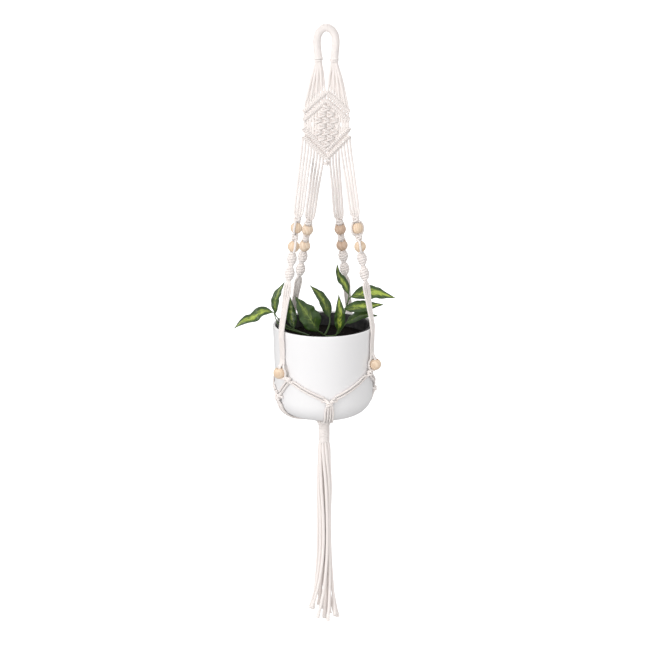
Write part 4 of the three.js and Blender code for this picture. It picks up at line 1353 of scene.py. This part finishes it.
def leaf_faces(shape, layers, rib, width, facing, paleness, wave_seed):
    """One closed blade: a top and an under sheet that meet at the edges and the ends."""
    line = [Vector(p) for p in smooth_line([tuple(Vector(p) * MM) for p in rib], BLADE_STEP)]
    total = line_length(line)
    facing = Vector(facing).normalized()
    rows_top, rows_low, walked = [], [], 0.0
    for i, spot in enumerate(line):
        walked += (spot - line[i - 1]).length if i else 0
        share = walked / total
        ahead = (line[min(i + 1, len(line) - 1)] - line[max(i - 1, 0)]).normalized()
        side = ahead.cross(facing).normalized()
        up = side.cross(ahead).normalized()
        half = width / 2 * MM * float(np.interp(share, *zip(*LEAF_WIDTHS)))
        top, low = [], []
        for k in range(ACROSS_STEPS + 1):
            v = 2 * k / ACROSS_STEPS - 1
            fold = 0.30 * abs(v) ** 1.2 - 0.16 * v * v
            ripple = noise.noise(Vector((share * 7, v * 0.9, wave_seed * 9))) * RIPPLE * abs(v) ** 1.5
            centre = spot + side * (half * v) + up * (half * (fold + ripple))
            lift = up * (BLADE_THICK / 2 * (1 - 0.85 * v * v))
            edge = abs(v) == 1
            here = shape.verts.new(centre if edge else centre + lift)
            top.append(here)
            low.append(here if edge else shape.verts.new(centre - lift))
            for vertex in (here,) if edge else (here, low[-1]):
                vertex[layers["along"]] = share
                vertex[layers["across"]] = v
                vertex[layers["chance"]] = wave_seed
                vertex[layers["paleness"]] = paleness
        rows_top.append(top)
        rows_low.append(low)
    for rows, flip in ((rows_top, False), (rows_low, True)):
        for a, b in zip(rows, rows[1:]):
            for k in range(ACROSS_STEPS):
                corners = (a[k], a[k + 1], b[k + 1], b[k])
                shape.faces.new(corners[::-1] if flip else corners)
    for top, low, flip in ((rows_top[0], rows_low[0], True), (rows_top[-1], rows_low[-1], False)):
        ring = top + low[-2:0:-1]
        shape.faces.new(ring[::-1] if flip else ring)


print("rows across a blade", ACROSS_STEPS + 1)

# %% [markdown]
# The plant has three clumps. A leaf is given by the points of its stalk, the points of its midrib, its
# greatest width, the way its face looks and how pale it is. Places and widths are in millimetres. The
# leaves of a clump are one mesh, and so are its stalks, which are drawn with the cord tree with its plies
# smoothed away.

# %% Plant
PLANT = {
    "plant_left": ((-26, 4), [
        ([(-80, -33, -490), (-86, -32, -480)],
         [(-90, -31, -469), (-108, -33, -467), (-128, -35, -479), (-139, -36, -482), (-158, -36, -497)],
         21, (0.2, -0.6, 0.75), 1.1),
        ([(-68, -4, -500)], [(-88, 0, -480), (-86, 2, -452), (-71, 5, -424)], 17, (-0.5, -0.8, 0.2), 0.6),
        ([(-50, 4, -514)], [(-56, 5, -508), (-61, 9, -480), (-62, 11, -452)], 19, (0.2, -1, 0.2), 0.5),
    ]),
    "plant_centre": ((0, 0), [
        ([(-8, -8, -512)], [(-14, -14, -507), (-30, -20, -480), (-53, -17, -445)],
         40, (0.5, -0.8, 0.3), 0.42),
        ([(4, 6, -505)], [(6, 10, -490), (-6, 13, -458), (-29, 10, -431)], 21, (0.4, -0.8, 0.4), 0.7),
        ([(14, -10, -516)], [(21, -14, -508), (23, -19, -478), (21, -20, -440)], 19, (0.1, -1, 0.1), 1.3),
    ]),
    "plant_right": ((22, 8), [
        ([(30, 16, -485)], [(39, 20, -451), (31, 22, -432), (21, 21, -417), (18, 20, -395)],
         17, (0.6, -0.8, 0.2), 0.9),
        ([(32, 14, -480)], [(42, 15, -454), (75, 17, -446), (120, 15, -456)], 27, (0, -0.75, 0.65), 1.3),
        ([(27, 6, -486)], [(30, 2, -472), (65, 5, -468), (99, 6, -465)], 24, (0, -0.7, 0.7), 1.1),
        ([(28, 12, -508)], [(34, 12, -500), (62, 14, -486), (90, 12, -487)], 22, (0, -0.5, 0.85), 0.35),
    ]),
}
STALK_R = 1.7 * MM
STALK_TAPER = 0.42


def build_plant(name, crown, leaves, seed):
    mesh = bpy.data.meshes.new(name + "_blades")
    shape = bmesh.new()
    layers = {key: shape.verts.layers.float.new(key) for key in LEAF_VALUES}
    for number, (_, rib, width, facing, paleness) in enumerate(leaves):
        leaf_faces(shape, layers, rib, width, facing, paleness, (seed * 0.37 + number * 0.61) % 1)
    bmesh.ops.recalc_face_normals(shape, faces=shape.faces)
    for face in shape.faces:
        face.smooth = True
    shape.to_mesh(mesh)
    shape.free()
    mesh.materials.append(leaf)
    blades = bpy.data.objects.new(name + "_blades", mesh)
    bpy.context.collection.objects.link(blades)
    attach(blades, "plant_insert")
    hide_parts(name)
    runs = []
    for stem, rib, *_ in leaves:
        root = (crown[0] + POT_X / MM, crown[1], SOIL_TOP / MM - 2)
        into_blade = Vector(rib[0]).lerp(Vector(rib[1]), 0.5)
        line = smooth_line([tuple(Vector(p) * MM) for p in [root] + stem + [rib[0], into_blade]], 2 * MM)
        runs.append((line, np.linspace(1.0, STALK_TAPER, len(line))))
    plain = {"Radius": STALK_R, "Ply depth": 0.0, "Lay": 1.0}
    stems = cords(name + "_stalks", runs, stalk, "plant_insert", **plain)


for seed, (name, (crown, leaves)) in enumerate(PLANT.items(), 1):
    build_plant(name, crown, leaves, seed)

# %% [markdown]
# The set is a wide pale floor well below the tassel, a white world, and soft light that is brighter from
# the left front, which shades the pot from left to right. Seen by the camera, floor and world are plain
# white. To the object they are dimmer, which leaves the cords their shading.

# %% Floor and light
FLOOR_HALF = 60
FLOOR_DROP = 0.5
FLOOR_GREY = (0.52, 0.52, 0.52, 1)
WORLD_STRENGTH = 0.87
LIGHTS = (  # name, place, size, power
    ("key", (-2.5, -2.0, 0.6), (1.4, 1.4), 40),
    ("fill", (0.2, -2.8, -0.2), (1.2, 0.8), 15),
    ("top", (-0.4, 0.3, 2.6), (2.2, 2.2), 4),
)
LIGHT_TARGET = Vector((0, 0, -0.45))


def stage_floor():
    mesh = bpy.data.meshes.new("floor")
    z = CAD_BOX[0][2] - FLOOR_DROP
    corners = [(x * FLOOR_HALF, y * FLOOR_HALF, z) for x, y in ((-1, -1), (1, -1), (1, 1), (-1, 1))]
    mesh.from_pydata(corners, [], [(0, 1, 2, 3)])
    floor = bpy.data.objects.new("floor", mesh)
    bpy.context.collection.objects.link(floor)
    material, tree, shader = new_material("pale_floor")
    shader.inputs["Base Color"].default_value = FLOOR_GREY
    shader.inputs["Roughness"].default_value = 0.9
    shader.inputs["Emission Color"].default_value = (1, 1, 1, 1)
    seen = tree.nodes.new("ShaderNodeLightPath").outputs["Is Camera Ray"]
    tree.links.new(seen, shader.inputs["Emission Strength"])
    mesh.materials.append(material)


def soft_light(name, place, size, power):
    data = bpy.data.lights.new(name, "AREA")
    data.shape = "RECTANGLE"
    data.size, data.size_y = size
    data.energy = power
    light = bpy.data.objects.new(name, data)
    light.location = place
    light.rotation_euler = (LIGHT_TARGET - Vector(place)).to_track_quat("-Z", "Y").to_euler()
    bpy.context.collection.objects.link(light)


def studio_world():
    world = bpy.data.worlds.new("studio")
    world.use_nodes = True
    tree = world.node_tree
    background = tree.nodes["Background"]
    seen = tree.nodes.new("ShaderNodeLightPath").outputs["Is Camera Ray"]
    background.inputs["Color"].default_value = (1, 1, 1, 1)
    tree.links.new(spread(tree, seen, 0.0, 1.0, WORLD_STRENGTH, 1.0), background.inputs["Strength"])
    bpy.context.scene.world = world


stage_floor()
studio_world()
for name, place, size, power in LIGHTS:
    soft_light(name, place, size, power)
bpy.context.scene.view_settings.view_transform = "Standard"
print("lights", [name for name, *_ in LIGHTS])
